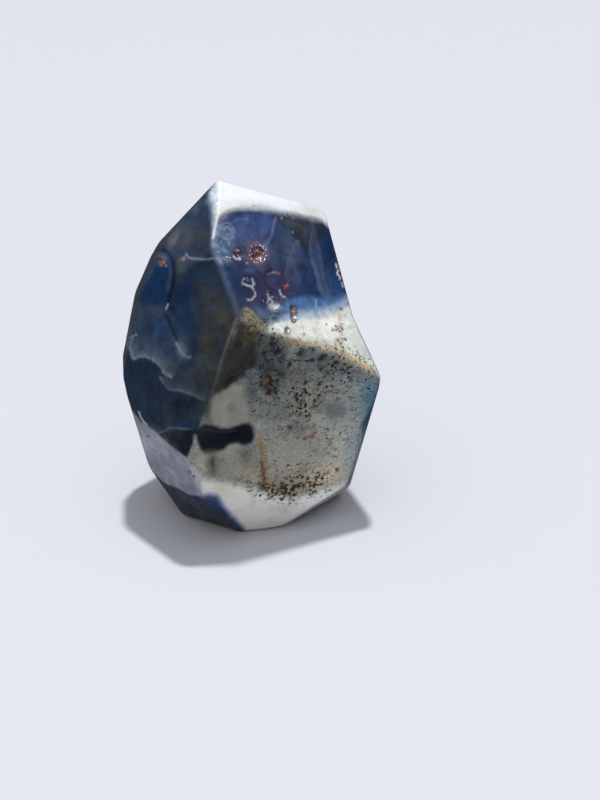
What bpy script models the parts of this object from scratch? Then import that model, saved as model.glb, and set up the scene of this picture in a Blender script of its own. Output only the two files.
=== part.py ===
"""Orca agate freeform: a free-standing stone, sawn from the rough, ground flat on many sides and polished.

The stone is modelled the way it is cut. A sawn block is ground away by one flat after another, the edges
are eased, and the open pores of the porous side and the crystal pockets of the blue side are sunk into it.
+Z is up, and the front of the stone faces -Y. The origin is on the floor, under the middle of the stone's box.
"""
import math
import random

import bmesh
import bpy
from mathutils import Matrix, Vector

MM = 0.001

# Driving dimensions, in millimetres and degrees
HEART_HEIGHT = 48.0
UPPER_BLOCK = 260.0
LOWER_BLOCK = 300.0
EASED_EDGE = 1.3
EDGE_STEPS = 3
EASED_ABOVE_ANGLE = 9.0
CREASED_ABOVE_ANGLE = 18.0
FINEST_EDGE = 0.05

# The pores and pockets are sunk with beads. Depth is a share of the bead's radius, and spread one of the swarm's.
HOLLOW_DEPTH = 0.8
BEAD_LIFT = 0.07
POCKET_ROUNDNESS = 2
PORE_ROUNDNESS = 1
PORE_GAP = 0.5
PORE_STRETCH = 1.5
SWARM_SPREAD = 0.5
PORE_SEED = 7

# A flat is (bearing, lean, reach): the way it faces round the stone (0 is +X, -90 is the front), how far it
# looks up (+) or down (-), and its distance from the heart, a point inside the stone at HEART_HEIGHT. Where the
# reach is three other flats, the flat is ground until it meets the corner of those three.
FLATS = {
    "base": (0, -90, HEART_HEIGHT),
    "porous_face": (-72, -2, 25.7),
    "dark_face": (-117, 16.4, 29.5),
    "dark_flank": (-144, 13, 28.6),
    "pale_brim": (-45, 38, 28.5),
    "right_brim": (14, 16, 32.8),
    "blue_face": (-47, 32, ("pale_brim", "porous_face", "dark_face")),
    "right_upper": (14, 4, ("blue_face", "pale_brim", "right_brim")),
    "crown": (-33, 56, 40.2),
    "left_brow": (-139, 38, 37.0),
    "right_cheek": (-21, -15, ("porous_face", "pale_brim", "right_brim")),
    "chin": (-86, -25, 36.6),
    "left_jaw": (-150, -17, 33.1),
    "left_chin": (-126, -36, 41.4),
    "middle_chin": (-77, -27, 38.2),
    "right_chin": (-47, -45.5, 47.4),
    "left_shoulder": (172, 44, 38.8),
    "left_upper": (180, 28, 34.2),
    "left_middle": (-176, 15, 32.2),
    "left_lower": (-176, -9, 34.0),
    "left_foot": (172, -42, ("base", "left_jaw", "left_chin")),
    "right_lower": (12, -10, 37.4),
    "back_right": (62, 10, 31.0),
    "back_middle": (100, 4, 28.0),
    "back_left": (140, 8, 33.0),
    "back_crown_right": (92, 45, 38.3),
    "back_crown_left": (135, 44, 39.6),
    "back_right_foot": (65, -28, ("base", "right_lower", "right_chin")),
    "back_left_foot": (135, -30, ("left_foot", "left_lower", "left_jaw")),
    "back_foot": (100, -55, 46.0),
}
# The bend between the blue face and its pale brim is hollow, so the stone starts as two blocks joined there.
UPPER_FLATS = ("blue_face", "right_upper")
LOWER_FLATS = ("pale_brim", "right_brim")

# A crystal pocket is (flat, across, up, long radius, short radius, turn). Its place is on its flat, in
# millimetres to the viewer's right and up the slope, from the point nearest to the heart. The turn is in degrees.
POCKETS = (
    ("blue_face", -3.7, 22.2, 3.0, 2.4, 20),
    ("blue_face", -10.7, 23.4, 1.5, 1.1, 80),
    ("blue_face", -2.3, 16.6, 1.6, 0.8, -10),
    ("blue_face", 1.3, 12.1, 0.9, 0.7, 0),
    ("blue_face", -0.6, 4.3, 2.2, 1.1, 75),
    ("pale_brim", -6.5, -2.6, 1.4, 0.7, 40),
    ("pale_brim", -7.0, 1.2, 0.8, 0.7, 0),
    ("porous_face", 1.7, 11.0, 1.4, 1.1, 30),
    ("porous_face", 5.1, 6.9, 1.1, 0.8, 60),
    ("back_middle", 6.0, 9.0, 2.6, 1.7, 35),
    ("back_right", -4.0, -8.0, 1.8, 1.3, -20),
)
# A swarm of pores is (flat, across, up, half width, half height, number, smallest radius, largest radius).
PORE_SWARMS = (
    ("porous_face", 9.5, -3.5, 2.4, 6.0, 12, 0.45, 0.9),
    ("porous_face", 17.5, 4.0, 4.5, 6.5, 10, 0.4, 0.8),
    ("porous_face", 7.0, -31.0, 9.5, 4.0, 16, 0.45, 1.0),
    ("porous_face", 4.0, -9.0, 3.5, 4.0, 6, 0.4, 0.7),
    ("porous_face", 9.8, -16.0, 3.0, 1.2, 4, 0.4, 0.7),
    ("pale_brim", 11.0, -7.0, 2.2, 5.0, 6, 0.4, 0.8),
    ("back_middle", 2.0, -4.0, 8.0, 7.0, 12, 0.45, 0.9),
)


def facing(flat):
    """The unit vector that a flat faces along."""
    turn = math.radians(flat[0])
    tilt = math.radians(flat[1])
    return Vector((math.cos(turn) * math.cos(tilt), math.sin(turn) * math.cos(tilt), math.sin(tilt)))


def corner(first, second, third):
    """The point where three flats meet, in millimetres from the heart."""
    faces = Matrix((facing(first), facing(second), facing(third)))
    return faces.inverted() @ Vector((first[2], second[2], third[2]))


def settled(flats):
    """The flats with every reach as a number. A reach to a corner is worked out from the flats before it."""
    known = {}
    for name, (bearing, lean, reach) in flats.items():
        if isinstance(reach, tuple):
            meeting = corner(*(known[other] for other in reach))
            reach = meeting.dot(facing((bearing, lean)))
        known[name] = (bearing, lean, reach)
    return known


def grind(body, flats):
    """Grinds each flat into a closed body, and closes the cut."""
    for flat in flats:
        everything = body.verts[:] + body.edges[:] + body.faces[:]
        normal = facing(flat)
        cut = bmesh.ops.bisect_plane(
            body, geom=everything, plane_co=normal * flat[2] * MM, plane_no=normal, clear_outer=True)
        rim = [part for part in cut["geom_cut"] if isinstance(part, bmesh.types.BMEdge)]
        if rim:
            bmesh.ops.contextual_create(body, geom=rim)
    bmesh.ops.recalc_face_normals(body, faces=body.faces[:])


def as_object(name, body):
    """An object in the scene from a mesh under work."""
    mesh = bpy.data.meshes.new(name)
    body.to_mesh(mesh)
    body.free()
    made = bpy.data.objects.new(name, mesh)
    bpy.context.scene.collection.objects.link(made)
    return made


def as_modified(made):
    """The mesh under work of an object with its modifiers taken in. The object itself goes."""
    ready = made.evaluated_get(bpy.context.evaluated_depsgraph_get())
    body = bmesh.new()
    body.from_mesh(ready.to_mesh())
    bpy.data.objects.remove(made)
    return body


def sawn_block(name, size, flats):
    """A block around the heart with its first flats."""
    body = bmesh.new()
    bmesh.ops.create_cube(body, size=size * MM)
    grind(body, flats)
    return as_object(name, body)


def ground_stone(flats):
    """The stone with every flat. The two blocks make the hollow bend between the blue face and its brim."""
    upper = sawn_block("upper_block", UPPER_BLOCK, [flats[name] for name in UPPER_FLATS])
    lower = sawn_block("lower_block", LOWER_BLOCK, [flats[name] for name in LOWER_FLATS])
    join = upper.modifiers.new("join", "BOOLEAN")
    join.operation = "UNION"
    join.object = lower
    body = as_modified(upper)
    bpy.data.objects.remove(lower)
    grind(body, [flats[name] for name in flats if name not in UPPER_FLATS + LOWER_FLATS])
    bmesh.ops.remove_doubles(body, verts=body.verts[:], dist=FINEST_EDGE * MM)
    return body


def ease_edges(body):
    """Rounds every edge that stands out, as polishing does."""
    standing = [
        edge for edge in body.edges if math.degrees(edge.calc_face_angle_signed()) > EASED_ABOVE_ANGLE]
    bmesh.ops.bevel(
        body, geom=standing, offset=EASED_EDGE * MM, offset_type="OFFSET", segments=EDGE_STEPS,
        profile=0.5, affect="EDGES", clamp_overlap=True)
    bmesh.ops.remove_doubles(body, verts=body.verts[:], dist=FINEST_EDGE * MM)


def place_on(flat, across, up):
    """The point of a flat at a place across and up it, and the flat's own axes as a matrix."""
    normal = facing(flat)
    turn = math.radians(flat[0])
    sideways = Vector((-math.sin(turn), math.cos(turn), 0.0))
    upwards = normal.cross(sideways)
    axes = Matrix((sideways, upwards, normal)).transposed()
    return (normal * flat[2] + sideways * across + upwards * up) * MM, axes


def hollow(cutters, flat, across, up, radii, turn, roundness):
    """Adds one bead to the cutters, a little more than half of it standing out of the flat."""
    middle, axes = place_on(flat, across, up)
    middle += facing(flat) * BEAD_LIFT * MM
    turned = Matrix.Rotation(math.radians(turn), 4, "Z")
    shape = axes.to_4x4() @ turned @ Matrix.Diagonal((*radii, 1.0))
    shape.translation = middle
    bmesh.ops.create_icosphere(cutters, subdivisions=roundness, radius=MM, matrix=shape)


def scattered(swarm, draw):
    """Places and radii for the pores of one swarm, none of them touching."""
    _, across, up, half_width, half_height, number, smallest, largest = swarm
    pores = []
    while len(pores) < number:
        sideways = draw.gauss(0.0, SWARM_SPREAD) * half_width
        upwards = draw.gauss(0.0, SWARM_SPREAD) * half_height
        spot = Vector((across + sideways, up + upwards))
        radius = draw.uniform(smallest, largest)
        if all((spot - other).length > radius + beside + PORE_GAP for other, beside in pores):
            pores.append((spot, radius))
    return pores


def pores_and_pockets(flats):
    """One object with a bead for each crystal pocket and each pore."""
    cutters = bmesh.new()
    for name, across, up, long_radius, short_radius, turn in POCKETS:
        radii = (long_radius, short_radius, short_radius * HOLLOW_DEPTH)
        hollow(cutters, flats[name], across, up, radii, turn, POCKET_ROUNDNESS)
    draw = random.Random(PORE_SEED)
    for swarm in PORE_SWARMS:
        for spot, radius in scattered(swarm, draw):
            radii = (radius * draw.uniform(1.0, PORE_STRETCH), radius, radius * HOLLOW_DEPTH)
            turn = draw.uniform(0.0, 180.0)
            hollow(cutters, flats[swarm[0]], spot.x, spot.y, radii, turn, PORE_ROUNDNESS)
    return as_object("pore_cutters", cutters)


def sink_hollows(body, flats):
    """Sinks the pores and pockets into the eased stone."""
    stone = as_object("eased_stone", body)
    cutters = pores_and_pockets(flats)
    sink = stone.modifiers.new("sink", "BOOLEAN")
    sink.operation = "DIFFERENCE"
    sink.object = cutters
    pitted = as_modified(stone)
    bpy.data.objects.remove(cutters)
    return pitted


def stand_on_floor(body):
    """Moves the stone so that the origin is on the floor, under the middle of its box."""
    low = Vector([min(vert.co[axis] for vert in body.verts) for axis in range(3)])
    high = Vector([max(vert.co[axis] for vert in body.verts) for axis in range(3)])
    shift = Vector((-(low.x + high.x) / 2, -(low.y + high.y) / 2, -low.z))
    bmesh.ops.translate(body, verts=body.verts[:], vec=shift)


def polished_agate():
    """Polished agate: a hard waxy shine over milky white, grey and inky blue. One mean colour stands for all."""
    agate = bpy.data.materials.new("polished_agate")
    agate.use_nodes = True
    shader = agate.node_tree.nodes["Principled BSDF"]
    shader.inputs["Base Color"].default_value = (0.30, 0.32, 0.36, 1.0)
    shader.inputs["Roughness"].default_value = 0.12
    shader.inputs["Metallic"].default_value = 0.0
    shader.inputs["IOR"].default_value = 1.54
    return agate


for leftover in list(bpy.data.objects):
    bpy.data.objects.remove(leftover)
all_flats = settled(FLATS)
stone_mesh = ground_stone(all_flats)
ease_edges(stone_mesh)
stone_mesh = sink_hollows(stone_mesh, all_flats)
stand_on_floor(stone_mesh)
stone = as_object("agate_stone", stone_mesh)
stone.data.materials.append(polished_agate())
stone.data.shade_smooth()
stone.data.set_sharp_from_angle(angle=math.radians(CREASED_ABOVE_ANGLE))
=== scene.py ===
import math
import random

import bpy
import numpy as np
from mathutils import Matrix, Vector, noise
from mathutils.bvhtree import BVHTree


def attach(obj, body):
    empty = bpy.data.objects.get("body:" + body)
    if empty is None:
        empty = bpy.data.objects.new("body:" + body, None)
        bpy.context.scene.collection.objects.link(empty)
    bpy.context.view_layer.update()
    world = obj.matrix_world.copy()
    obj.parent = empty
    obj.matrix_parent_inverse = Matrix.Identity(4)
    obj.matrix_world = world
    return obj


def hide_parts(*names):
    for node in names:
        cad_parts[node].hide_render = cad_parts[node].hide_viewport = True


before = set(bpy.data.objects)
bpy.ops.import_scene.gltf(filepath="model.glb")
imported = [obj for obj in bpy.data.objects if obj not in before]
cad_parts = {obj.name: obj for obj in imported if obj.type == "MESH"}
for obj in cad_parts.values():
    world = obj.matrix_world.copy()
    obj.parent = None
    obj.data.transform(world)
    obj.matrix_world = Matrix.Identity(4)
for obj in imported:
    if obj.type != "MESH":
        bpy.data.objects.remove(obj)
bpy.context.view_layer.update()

# The camera
# It stands low in front of the stone and looks down on it, at the angle of the photograph. It comes first,
# because the stone's markings are placed by looking through it. Lengths are in millimetres.
MM = 0.001
CAMERA_PLACE = (-8.35, -298.3, 164.3)
CAMERA_PITCH = 23.63
CAMERA_YAW = 4.45
CAMERA_ROLL = -1.03
CAMERA_LENS = 49.5
CAMERA_SENSOR = 36.0
CAMERA_NEAR = 10.0
CAMERA_FAR = 50000.0
PHOTO_WIDTH = 600
PHOTO_HEIGHT = 800

camera_data = bpy.data.cameras.new("camera")
camera_data.lens = CAMERA_LENS
camera_data.sensor_width = CAMERA_SENSOR
camera_data.clip_start = CAMERA_NEAR * MM
camera_data.clip_end = CAMERA_FAR * MM
camera = bpy.data.objects.new("camera", camera_data)
bpy.context.scene.collection.objects.link(camera)
camera.matrix_world = (
    Matrix.Translation(Vector(CAMERA_PLACE) * MM)
    @ Matrix.Rotation(math.radians(-CAMERA_YAW), 4, "Z")
    @ Matrix.Rotation(math.radians(90.0 - CAMERA_PITCH), 4, "X")
    @ Matrix.Rotation(math.radians(CAMERA_ROLL), 4, "Z"))
bpy.context.scene.camera = camera


# The stone's body
# One piece of agate, sawn from the rough, ground flat on many sides and polished until its edges are round.
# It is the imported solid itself, meshed evenly, with finer faces on the front where the markings are small.
BODY_FACE = 0.86
FRONT_CUTS = 1
FRONT_FACING = -0.04
JOIN_GAP = 0.001


def nothing_selected():
    """Clears the selection, so that the next step works on the new piece alone."""
    for thing in bpy.context.selected_objects:
        thing.select_set(False)


def as_array(items, key, width):
    """One value of every vertex or face, as an array with a row for each."""
    values = np.empty(len(items) * width, dtype=np.float32)
    items.foreach_get(key, values)
    return values.reshape(-1, width).astype(float)


def facing_camera(places, normals):
    """How far each point faces the camera: 1 is straight at it, 0 edge on and below 0 away from it."""
    towards = np.array(camera.matrix_world.translation) - places
    towards /= np.linalg.norm(towards, axis=1)[:, None]
    return (normals * towards).sum(axis=1)


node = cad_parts["agate_stone"]
nothing_selected()
stone = bpy.data.objects.new("polished_stone", node.data.copy())
bpy.context.scene.collection.objects.link(stone)
stone.select_set(True)
bpy.context.view_layer.objects.active = stone
bpy.ops.object.mode_set(mode="EDIT")
bpy.ops.mesh.select_mode(type="VERT")
bpy.ops.mesh.select_all(action="SELECT")
bpy.ops.mesh.remove_doubles(threshold=JOIN_GAP * MM)
bpy.ops.mesh.normals_make_consistent(inside=False)
bpy.ops.object.mode_set(mode="OBJECT")

even = stone.modifiers.new("even", "REMESH")
even.mode = "VOXEL"
even.voxel_size = BODY_FACE * MM
even.use_smooth_shade = True
bpy.ops.object.modifier_apply(modifier="even")

body_faces = stone.data.polygons
face_places = as_array(body_faces, "center", 3)
face_normals = as_array(body_faces, "normal", 3)
body_faces.foreach_set("select", facing_camera(face_places, face_normals) > FRONT_FACING)
bpy.ops.object.mode_set(mode="EDIT")
bpy.ops.mesh.select_mode(type="FACE")
bpy.ops.mesh.subdivide(number_cuts=FRONT_CUTS)
bpy.ops.object.mode_set(mode="OBJECT")

snug = stone.modifiers.new("snug", "SHRINKWRAP")
snug.target = node
snug.wrap_method = "NEAREST_SURFACEPOINT"
bpy.ops.object.modifier_apply(modifier="snug")
stone.data.shade_smooth()
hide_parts("agate_stone")
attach(stone, "root")


# The stone's markings, and how they are laid on
# Agate has no painted skin: its colours are layers of the stone itself. They are laid on from the ground up,
# as soft washes, patches and strokes, at the places where the camera sees them, in pixels of the photograph.
LUMP = 7.0
FRAY = 1.6
FRAY_SHARE = 0.6
FOLD = 5.0
FOLD_BEND = 9.0
FOLD_SWAY = 3.0
CLOUD = 2.2
CLOUD_BEND = 4.0
CLOUD_SWAY = 1.2
CURVE_STEPS = 5
WASH_FADE = 1.2
WASH_EDGE = 3.0
WASH_END = 4.0
DOT_RAGGED = 0.3
NOISE_SHIFT = (1.0, 2.7, -1.3)
NOISE_SEED = 6

spots = as_array(stone.data.vertices, "co", 3)
spot_normals = as_array(stone.data.vertices, "normal", 3)
facing = facing_camera(spots, spot_normals)


def colour(code):
    """A colour written as on a paint chart, as the light that it sends back in red, green and blue."""
    parts = [int(code[place:place + 2], 16) / 255 for place in (1, 3, 5)]
    return np.array([part / 12.92 if part <= 0.04045 else ((part + 0.055) / 1.055) ** 2.4 for part in parts])


def seen_at(places):
    """Where points show in the photograph, in its pixels, across and down."""
    from_world = np.array(camera.matrix_world.inverted())
    local = np.c_[places, np.ones(len(places))] @ from_world.T
    reach = PHOTO_HEIGHT * CAMERA_LENS / CAMERA_SENSOR / -local[:, 2]
    return np.c_[PHOTO_WIDTH / 2 + reach * local[:, 0], PHOTO_HEIGHT / 2 - reach * local[:, 1]]


def wavering(places, lump, seed):
    """Smooth random numbers from about -1 to 1 in three directions, for lumps of a size in millimetres."""
    shift = Vector([step * seed for step in NOISE_SHIFT])
    scale = 1 / (lump * MM)
    return np.array([noise.noise_vector(Vector(place) * scale + shift) for place in places])


def softened(value, low, high):
    """0 below low, 1 above high and a smooth step between them."""
    share = np.clip((value - low) / (high - low), 0.0, 1.0)
    return share * share * (3 - 2 * share)


def rounded(line, closed):
    """A smooth curve through the points of a line, as more points."""
    points = np.array(line, float)
    count = len(points)
    if closed:
        ends = [points[-1]], points[:2]
    else:
        ends = [2 * points[0] - points[1]], [2 * points[-1] - points[-2]]
    run = np.concatenate([ends[0], points, ends[1]])
    curve = []
    for index in range(count if closed else count - 1):
        before, start, end, after = run[index:index + 4]
        for step in range(CURVE_STEPS):
            share = step / CURVE_STEPS
            curve.append(0.5 * (2 * start + (end - before) * share
                                + (2 * before - 5 * start + 4 * end - after) * share ** 2
                                + (3 * start - before - 3 * end + after) * share ** 3))
    if not closed:
        curve.append(points[-1])
    return np.array(curve)


def gap_to(line, places, closed):
    """The distance from places to a line, in its own units."""
    starts = line if closed else line[:-1]
    ends = np.roll(line, -1, axis=0) if closed else line[1:]
    nearest = np.full(len(places), np.inf)
    for start, end in zip(starts, ends):
        along = end - start
        share = np.clip(((places - start) @ along) / max(along @ along, 1e-9), 0, 1)
        reach = places - start - share[:, None] * along
        nearest = np.minimum(nearest, (reach ** 2).sum(axis=1))
    return np.sqrt(nearest)


def is_inside(outline, places):
    """True for places inside a closed outline."""
    across, down = places.T
    inside = np.zeros(len(places), bool)
    for (x, y), (next_x, next_y) in zip(outline, np.roll(outline, -1, axis=0)):
        if y == next_y:
            continue
        crosses = (y > down) != (next_y > down)
        inside ^= crosses & (across < (next_x - x) * (down - y) / (next_y - y) + x)
    return inside


def depth_in(outline, places):
    """How far places lie inside a closed outline, below 0 outside it."""
    gap = gap_to(outline, places, True)
    return np.where(is_inside(outline, places), gap, -gap)


def near(line, places, reach):
    """True for places within a reach of the box round a line."""
    return ((places > line.min(axis=0) - reach) & (places < line.max(axis=0) + reach)).all(axis=1)


noise.seed_set(NOISE_SEED)
seen = seen_at(spots)
drift = wavering(spots, LUMP, 1.0)[:, :2]
fray = wavering(spots, FRAY, 2.0)[:, :2]
folds = wavering(spots + FOLD_SWAY * MM * wavering(spots, FOLD_BEND, 3.0), FOLD, 4.0)
clouds = wavering(spots + CLOUD_SWAY * MM * wavering(spots, CLOUD_BEND, 8.0), CLOUD, 9.0)


def frayed(ragged):
    """Where the points show, moved a little at random, so that an edge laid there comes out ragged."""
    return seen + ragged * (drift + FRAY_SHARE * fray)


class Layer:
    """What the front of the stone holds at each of its points: a colour, or an amount from 0 to 1."""

    def __init__(self, start):
        self.values = np.tile(np.atleast_1d(start).astype(float), (len(spots), 1))

    def put(self, here, share, value):
        """Goes over to a value by a share, at the points picked by here."""
        value = colour(value) if isinstance(value, str) else np.atleast_1d(value)
        self.values[here] += share[:, None] * (value - self.values[here])

    def wash(self, value, centre, size, turn=0.0, share=1.0, ragged=2.0):
        """A soft round wash of a size, fading from its middle to nothing."""
        at = frayed(ragged) - np.array(centre)
        angle = math.radians(turn)
        across = at @ (math.cos(angle), math.sin(angle)) / size[0]
        down = at @ (-math.sin(angle), math.cos(angle)) / size[1]
        reach = across ** 2 + down ** 2
        here = reach < WASH_END
        fade = np.exp(-WASH_FADE * reach[here]) * softened(-reach[here], -WASH_END, -WASH_EDGE)
        self.put(here, share * fade, value)

    def patch(self, value, outline, soft=3.0, share=1.0, ragged=0.0, curved=False):
        """A patch with an outline, whose edge is soft over some pixels."""
        border = rounded(outline, True) if curved else np.array(outline, float)
        at = frayed(ragged)
        here = near(border, at, soft)
        self.put(here, share * softened(depth_in(border, at[here]), -soft / 2, soft / 2), value)

    def stroke(self, value, line, width=1.4, soft=1.2, share=1.0, ragged=0.5, closed=False):
        """A thin curved line of a width, such as the edge of a layer or a crack."""
        course = rounded(line, closed)
        at = frayed(ragged)
        reach = width / 2 + soft
        here = near(course, at, reach)
        gap = gap_to(course, at[here], closed)
        self.put(here, share * softened(-gap, -reach, -max(width / 2 - soft / 2, 0)), value)

    def hem(self, value, outline, line, fade, share=1.0, ragged=1.2):
        """A pale hem along a line on a patch's outline: bright at the line and fading into the patch."""
        border = rounded(outline, True)
        at = frayed(ragged)
        here = near(border, at, 0)
        here[here] = is_inside(border, at[here])
        gap = gap_to(rounded(line, False), at[here], False)
        self.put(here, share * np.exp(-gap / fade), value)

    def mottle(self, value, outline, pattern, low, high, share=1.0, soft=8.0):
        """A value laid on inside an outline, where a pattern of random lumps goes from low to high."""
        border = np.array(outline, float)
        here = near(border, seen, soft)
        lumps = softened(pattern[here], low, high)
        self.put(here, share * lumps * softened(depth_in(border, seen[here]), -soft / 2, soft / 2), value)

    def dots(self, value, places, size=1.4, share=0.9, ragged=DOT_RAGGED):
        """Small round dots."""
        for place in places:
            self.wash(value, place, (size, size), 0.0, share, ragged)

    def lay(self, marks):
        """Lays marks in their order. Each names its kind, its value and what else that kind takes."""
        for kind, *facts in marks:
            getattr(self, kind)(*facts)


# The dark faces on the left
# Clear slate-blue agate with folded veils of milky blue-grey in it, and an olive zone where iron went in. The
# cut goes through the veils, so their lower edges show as pale torn hems.
NAVY = "#1b2f48"
DEEP_BLUE = "#12315a"
SLATE = "#2f4566"
GREY_SLATE = "#3f4e60"
HEM = "#7d8c9c"
LOW_NAVY = "#203149"
SMOKE = "#323a43"
OLIVE = "#393936"
OLIVE_GLOW = "#4a4634"
BLACK_GREEN = "#1c2529"
BROW_TAN = "#5f5f5c"
WHITE_COOL = "#a9bac8"
LEFT_FACES = ((218, 176), (217, 200), (213, 248), (222, 275), (241, 319), (187, 458), (175, 449), (158, 435),
              (145, 424), (133, 411), (100, 400), (95, 300), (130, 215), (190, 165))
CURTAIN = ((108, 300), (135, 292), (152, 300), (164, 308), (176, 318), (188, 332), (192, 346), (188, 358),
           (180, 364), (172, 378), (164, 374), (160, 367), (155, 362), (148, 358), (140, 357), (133, 359),
           (131, 351), (127, 345), (108, 340))
CURTAIN_HEM = ((124, 342), (131, 351), (133, 359), (140, 357), (148, 358), (155, 362), (160, 367), (164, 374),
               (172, 378))
SECOND_CURTAIN = ((158, 376), (164, 384), (169, 389), (174, 391), (179, 391), (186, 393), (195, 397),
                  (205, 401), (213, 402), (222, 384), (224, 364), (206, 358), (192, 366), (182, 374),
                  (172, 379))
SECOND_HEM = ((160, 378), (164, 384), (169, 389), (174, 391), (179, 391), (186, 393), (195, 397), (205, 401),
              (213, 403))
ROUND_REGION = ((135, 272), (144, 256), (158, 250), (167, 252), (173, 262), (174, 275), (172, 290),
                (165, 302), (150, 304), (135, 300), (130, 286))
ROUND_EDGE = ((154, 250), (162, 250), (168, 253), (173, 262), (174, 275), (172, 290), (167, 304))
OLIVE_REGION = ((197, 286), (212, 288), (224, 296), (233, 306), (240, 319), (232, 342), (222, 368),
                (212, 390), (204, 393), (198, 380), (196, 350), (196, 318))
BLACK_REGION = ((156, 435), (166, 431), (174, 429), (195, 431), (218, 433), (206, 446), (187, 460),
                (172, 448))
BROW_WHITE = ((230, 160), (222, 200), (217, 222), (214, 246), (213, 228), (212, 212), (210, 200), (206, 176))

# each row is one mark: its kind, its colour, its place in pixels of the photograph, and what else it takes
UPPER_LEFT_MARKS = (
    ("wash", "#22384d", (206, 274), (22, 16), 0, 0.8),
    ("wash", "#12294a", (186, 290), (13, 22), 0, 0.85),
    ("wash", "#38424c", (206, 296), (12, 12), 0, 0.7),
)
paint = Layer(colour(NAVY))
paint.lay(UPPER_LEFT_MARKS)

CURTAIN_MARKS = (
    ("patch", GREY_SLATE, CURTAIN, 8, 0.55, 2.0, True),
    ("wash", "#253e68", (160, 326), (18, 14), 10, 0.85),
    ("wash", "#1b3457", (182, 326), (9, 18), -10, 0.85),
    ("wash", "#42505e", (146, 311), (10, 6), -10, 0.75),
    ("wash", SLATE, (150, 347), (18, 9), 10, 0.7),
    ("wash", "#2a3d58", (172, 352), (8, 12), -25, 0.7),
)
paint.lay(CURTAIN_MARKS)

ROUND_MARKS = (
    ("patch", DEEP_BLUE, ROUND_REGION, 6, 0.85, 1.5, True),
    ("wash", "#1a3f6c", (150, 270), (12, 9), -30, 0.6),
    ("wash", "#1d3552", (146, 296), (12, 6), 0, 0.6),
)
paint.lay(ROUND_MARKS)

UNDER_CURTAIN_MARKS = (
    ("wash", "#1f2b3b", (152, 388), (24, 20), 25, 0.9),
    ("wash", "#26374c", (138, 390), (8, 14), 15, 0.6),
    ("wash", "#171f2c", (188, 402), (22, 9), 12, 0.9),
    ("wash", "#172236", (146, 366), (12, 6), 20, 0.6),
    ("wash", "#272f38", (160, 422), (20, 10), 25, 0.8),
)
paint.lay(UNDER_CURTAIN_MARKS)

SECOND_CURTAIN_MARKS = (
    ("patch", SMOKE, SECOND_CURTAIN, 5, 0.8, 1.5, True),
    ("wash", "#3a4554", (168, 378), (8, 6), 20, 0.7),
    ("wash", "#343c40", (186, 378), (12, 9), 0, 0.6),
    ("wash", "#1f2b3c", (178, 414), (22, 8), 5, 0.8),
    ("wash", "#353d44", (208, 416), (10, 12), 0, 0.7),
)
paint.lay(SECOND_CURTAIN_MARKS)

OLIVE_MARKS = (
    ("patch", OLIVE, OLIVE_REGION, 14, 0.75, 3.0, True),
    ("wash", "#2c3137", (225, 345), (7, 20), 22, 0.75),
    ("wash", "#2e3034", (222, 376), (6, 10), 20, 0.7),
    ("wash", "#2c353a", (204, 368), (8, 10), 0, 0.8),
    ("wash", OLIVE_GLOW, (208, 347), (6, 9), 0, 0.8),
    ("wash", "#4a4838", (221, 316), (7, 13), -12, 0.75),
    ("wash", "#1d2c42", (198, 316), (7, 26), 6, 0.6),
    ("wash", "#353f4c", (207, 300), (8, 8), 0, 0.5),
    ("wash", "#3d4845", (179, 270), (6, 12), 0, 0.75),
)
paint.lay(OLIVE_MARKS)

BLACK_MARKS = (
    ("patch", BLACK_GREEN, BLACK_REGION, 4, 0.92, 0.8),
)
paint.lay(BLACK_MARKS)

BROW_MARKS = (
    ("wash", "#132c4a", (204, 218), (10, 24), 10, 0.95),
    ("wash", "#0b1829", (204, 243), (12, 14), 0, 0.9),
    ("wash", "#0d1c2d", (206, 264), (16, 8), 0, 0.8),
    ("wash", "#4a6878", (192, 205), (7, 6), -35, 0.7),
    ("wash", "#34485a", (180, 224), (10, 9), -30, 0.8),
    ("wash", BROW_TAN, (174, 239), (6, 12), 25, 0.8),
    ("wash", "#3c4244", (188, 232), (6, 12), 25, 0.7),
    ("wash", "#5a5149", (186, 243), (4, 7), 25, 0.5),
    ("wash", "#2a4a62", (163, 240), (4, 10), 25, 0.6),
    ("patch", WHITE_COOL, BROW_WHITE, 9, 1.0, 1.5),
)
paint.lay(BROW_MARKS)

LEFT_LUMPS = (
    ("mottle", "#3f4c5c", LEFT_FACES, folds[:, 0], 0.0, 0.7, 0.3),
    ("mottle", "#141f2d", LEFT_FACES, folds[:, 1], 0.0, 0.7, 0.4),
    ("mottle", "#34382f", LEFT_FACES, folds[:, 2], 0.15, 0.7, 0.35),
)
paint.lay(LEFT_LUMPS)

CURTAIN_HEMS = (
    ("hem", HEM, CURTAIN, CURTAIN_HEM, 5.0, 0.75),
    ("hem", "#5f6b77", SECOND_CURTAIN, SECOND_HEM, 3.5, 0.5),
    ("stroke", "#8494a4", CURTAIN_HEM, 0.7, 1.3, 0.45, 1.2),
    ("stroke", "#6f7c87", SECOND_HEM, 0.7, 1.3, 0.35, 1.0),
)
paint.lay(CURTAIN_HEMS)

ROUND_EDGE_MARKS = (
    ("stroke", "#0a1626", ROUND_EDGE, 1.4, 3.0, 0.75, 1.2),
    ("stroke", "#3f5c78", ((153, 252), (163, 254), (169, 264), (170, 277), (168, 290)), 0.8, 2.5, 0.4, 0.8),
    ("stroke", "#7a6c5c", ((155, 257), (160, 256), (166, 259)), 0.8, 1.6, 0.6),
    ("wash", "#8a6d60", (162, 263), (4.0, 3.0), 20, 0.75, 1.2),
)
paint.lay(ROUND_EDGE_MARKS)

BROW_SPOTS = (
    ("wash", "#786b6a", (183, 259), (3.4, 2.4), 0, 0.6, 0.8),
    ("dots", "#b98f7e", ((161, 265), (164, 262), (184, 258), (166, 266)), 1.0),
)
paint.lay(BROW_SPOTS)

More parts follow.
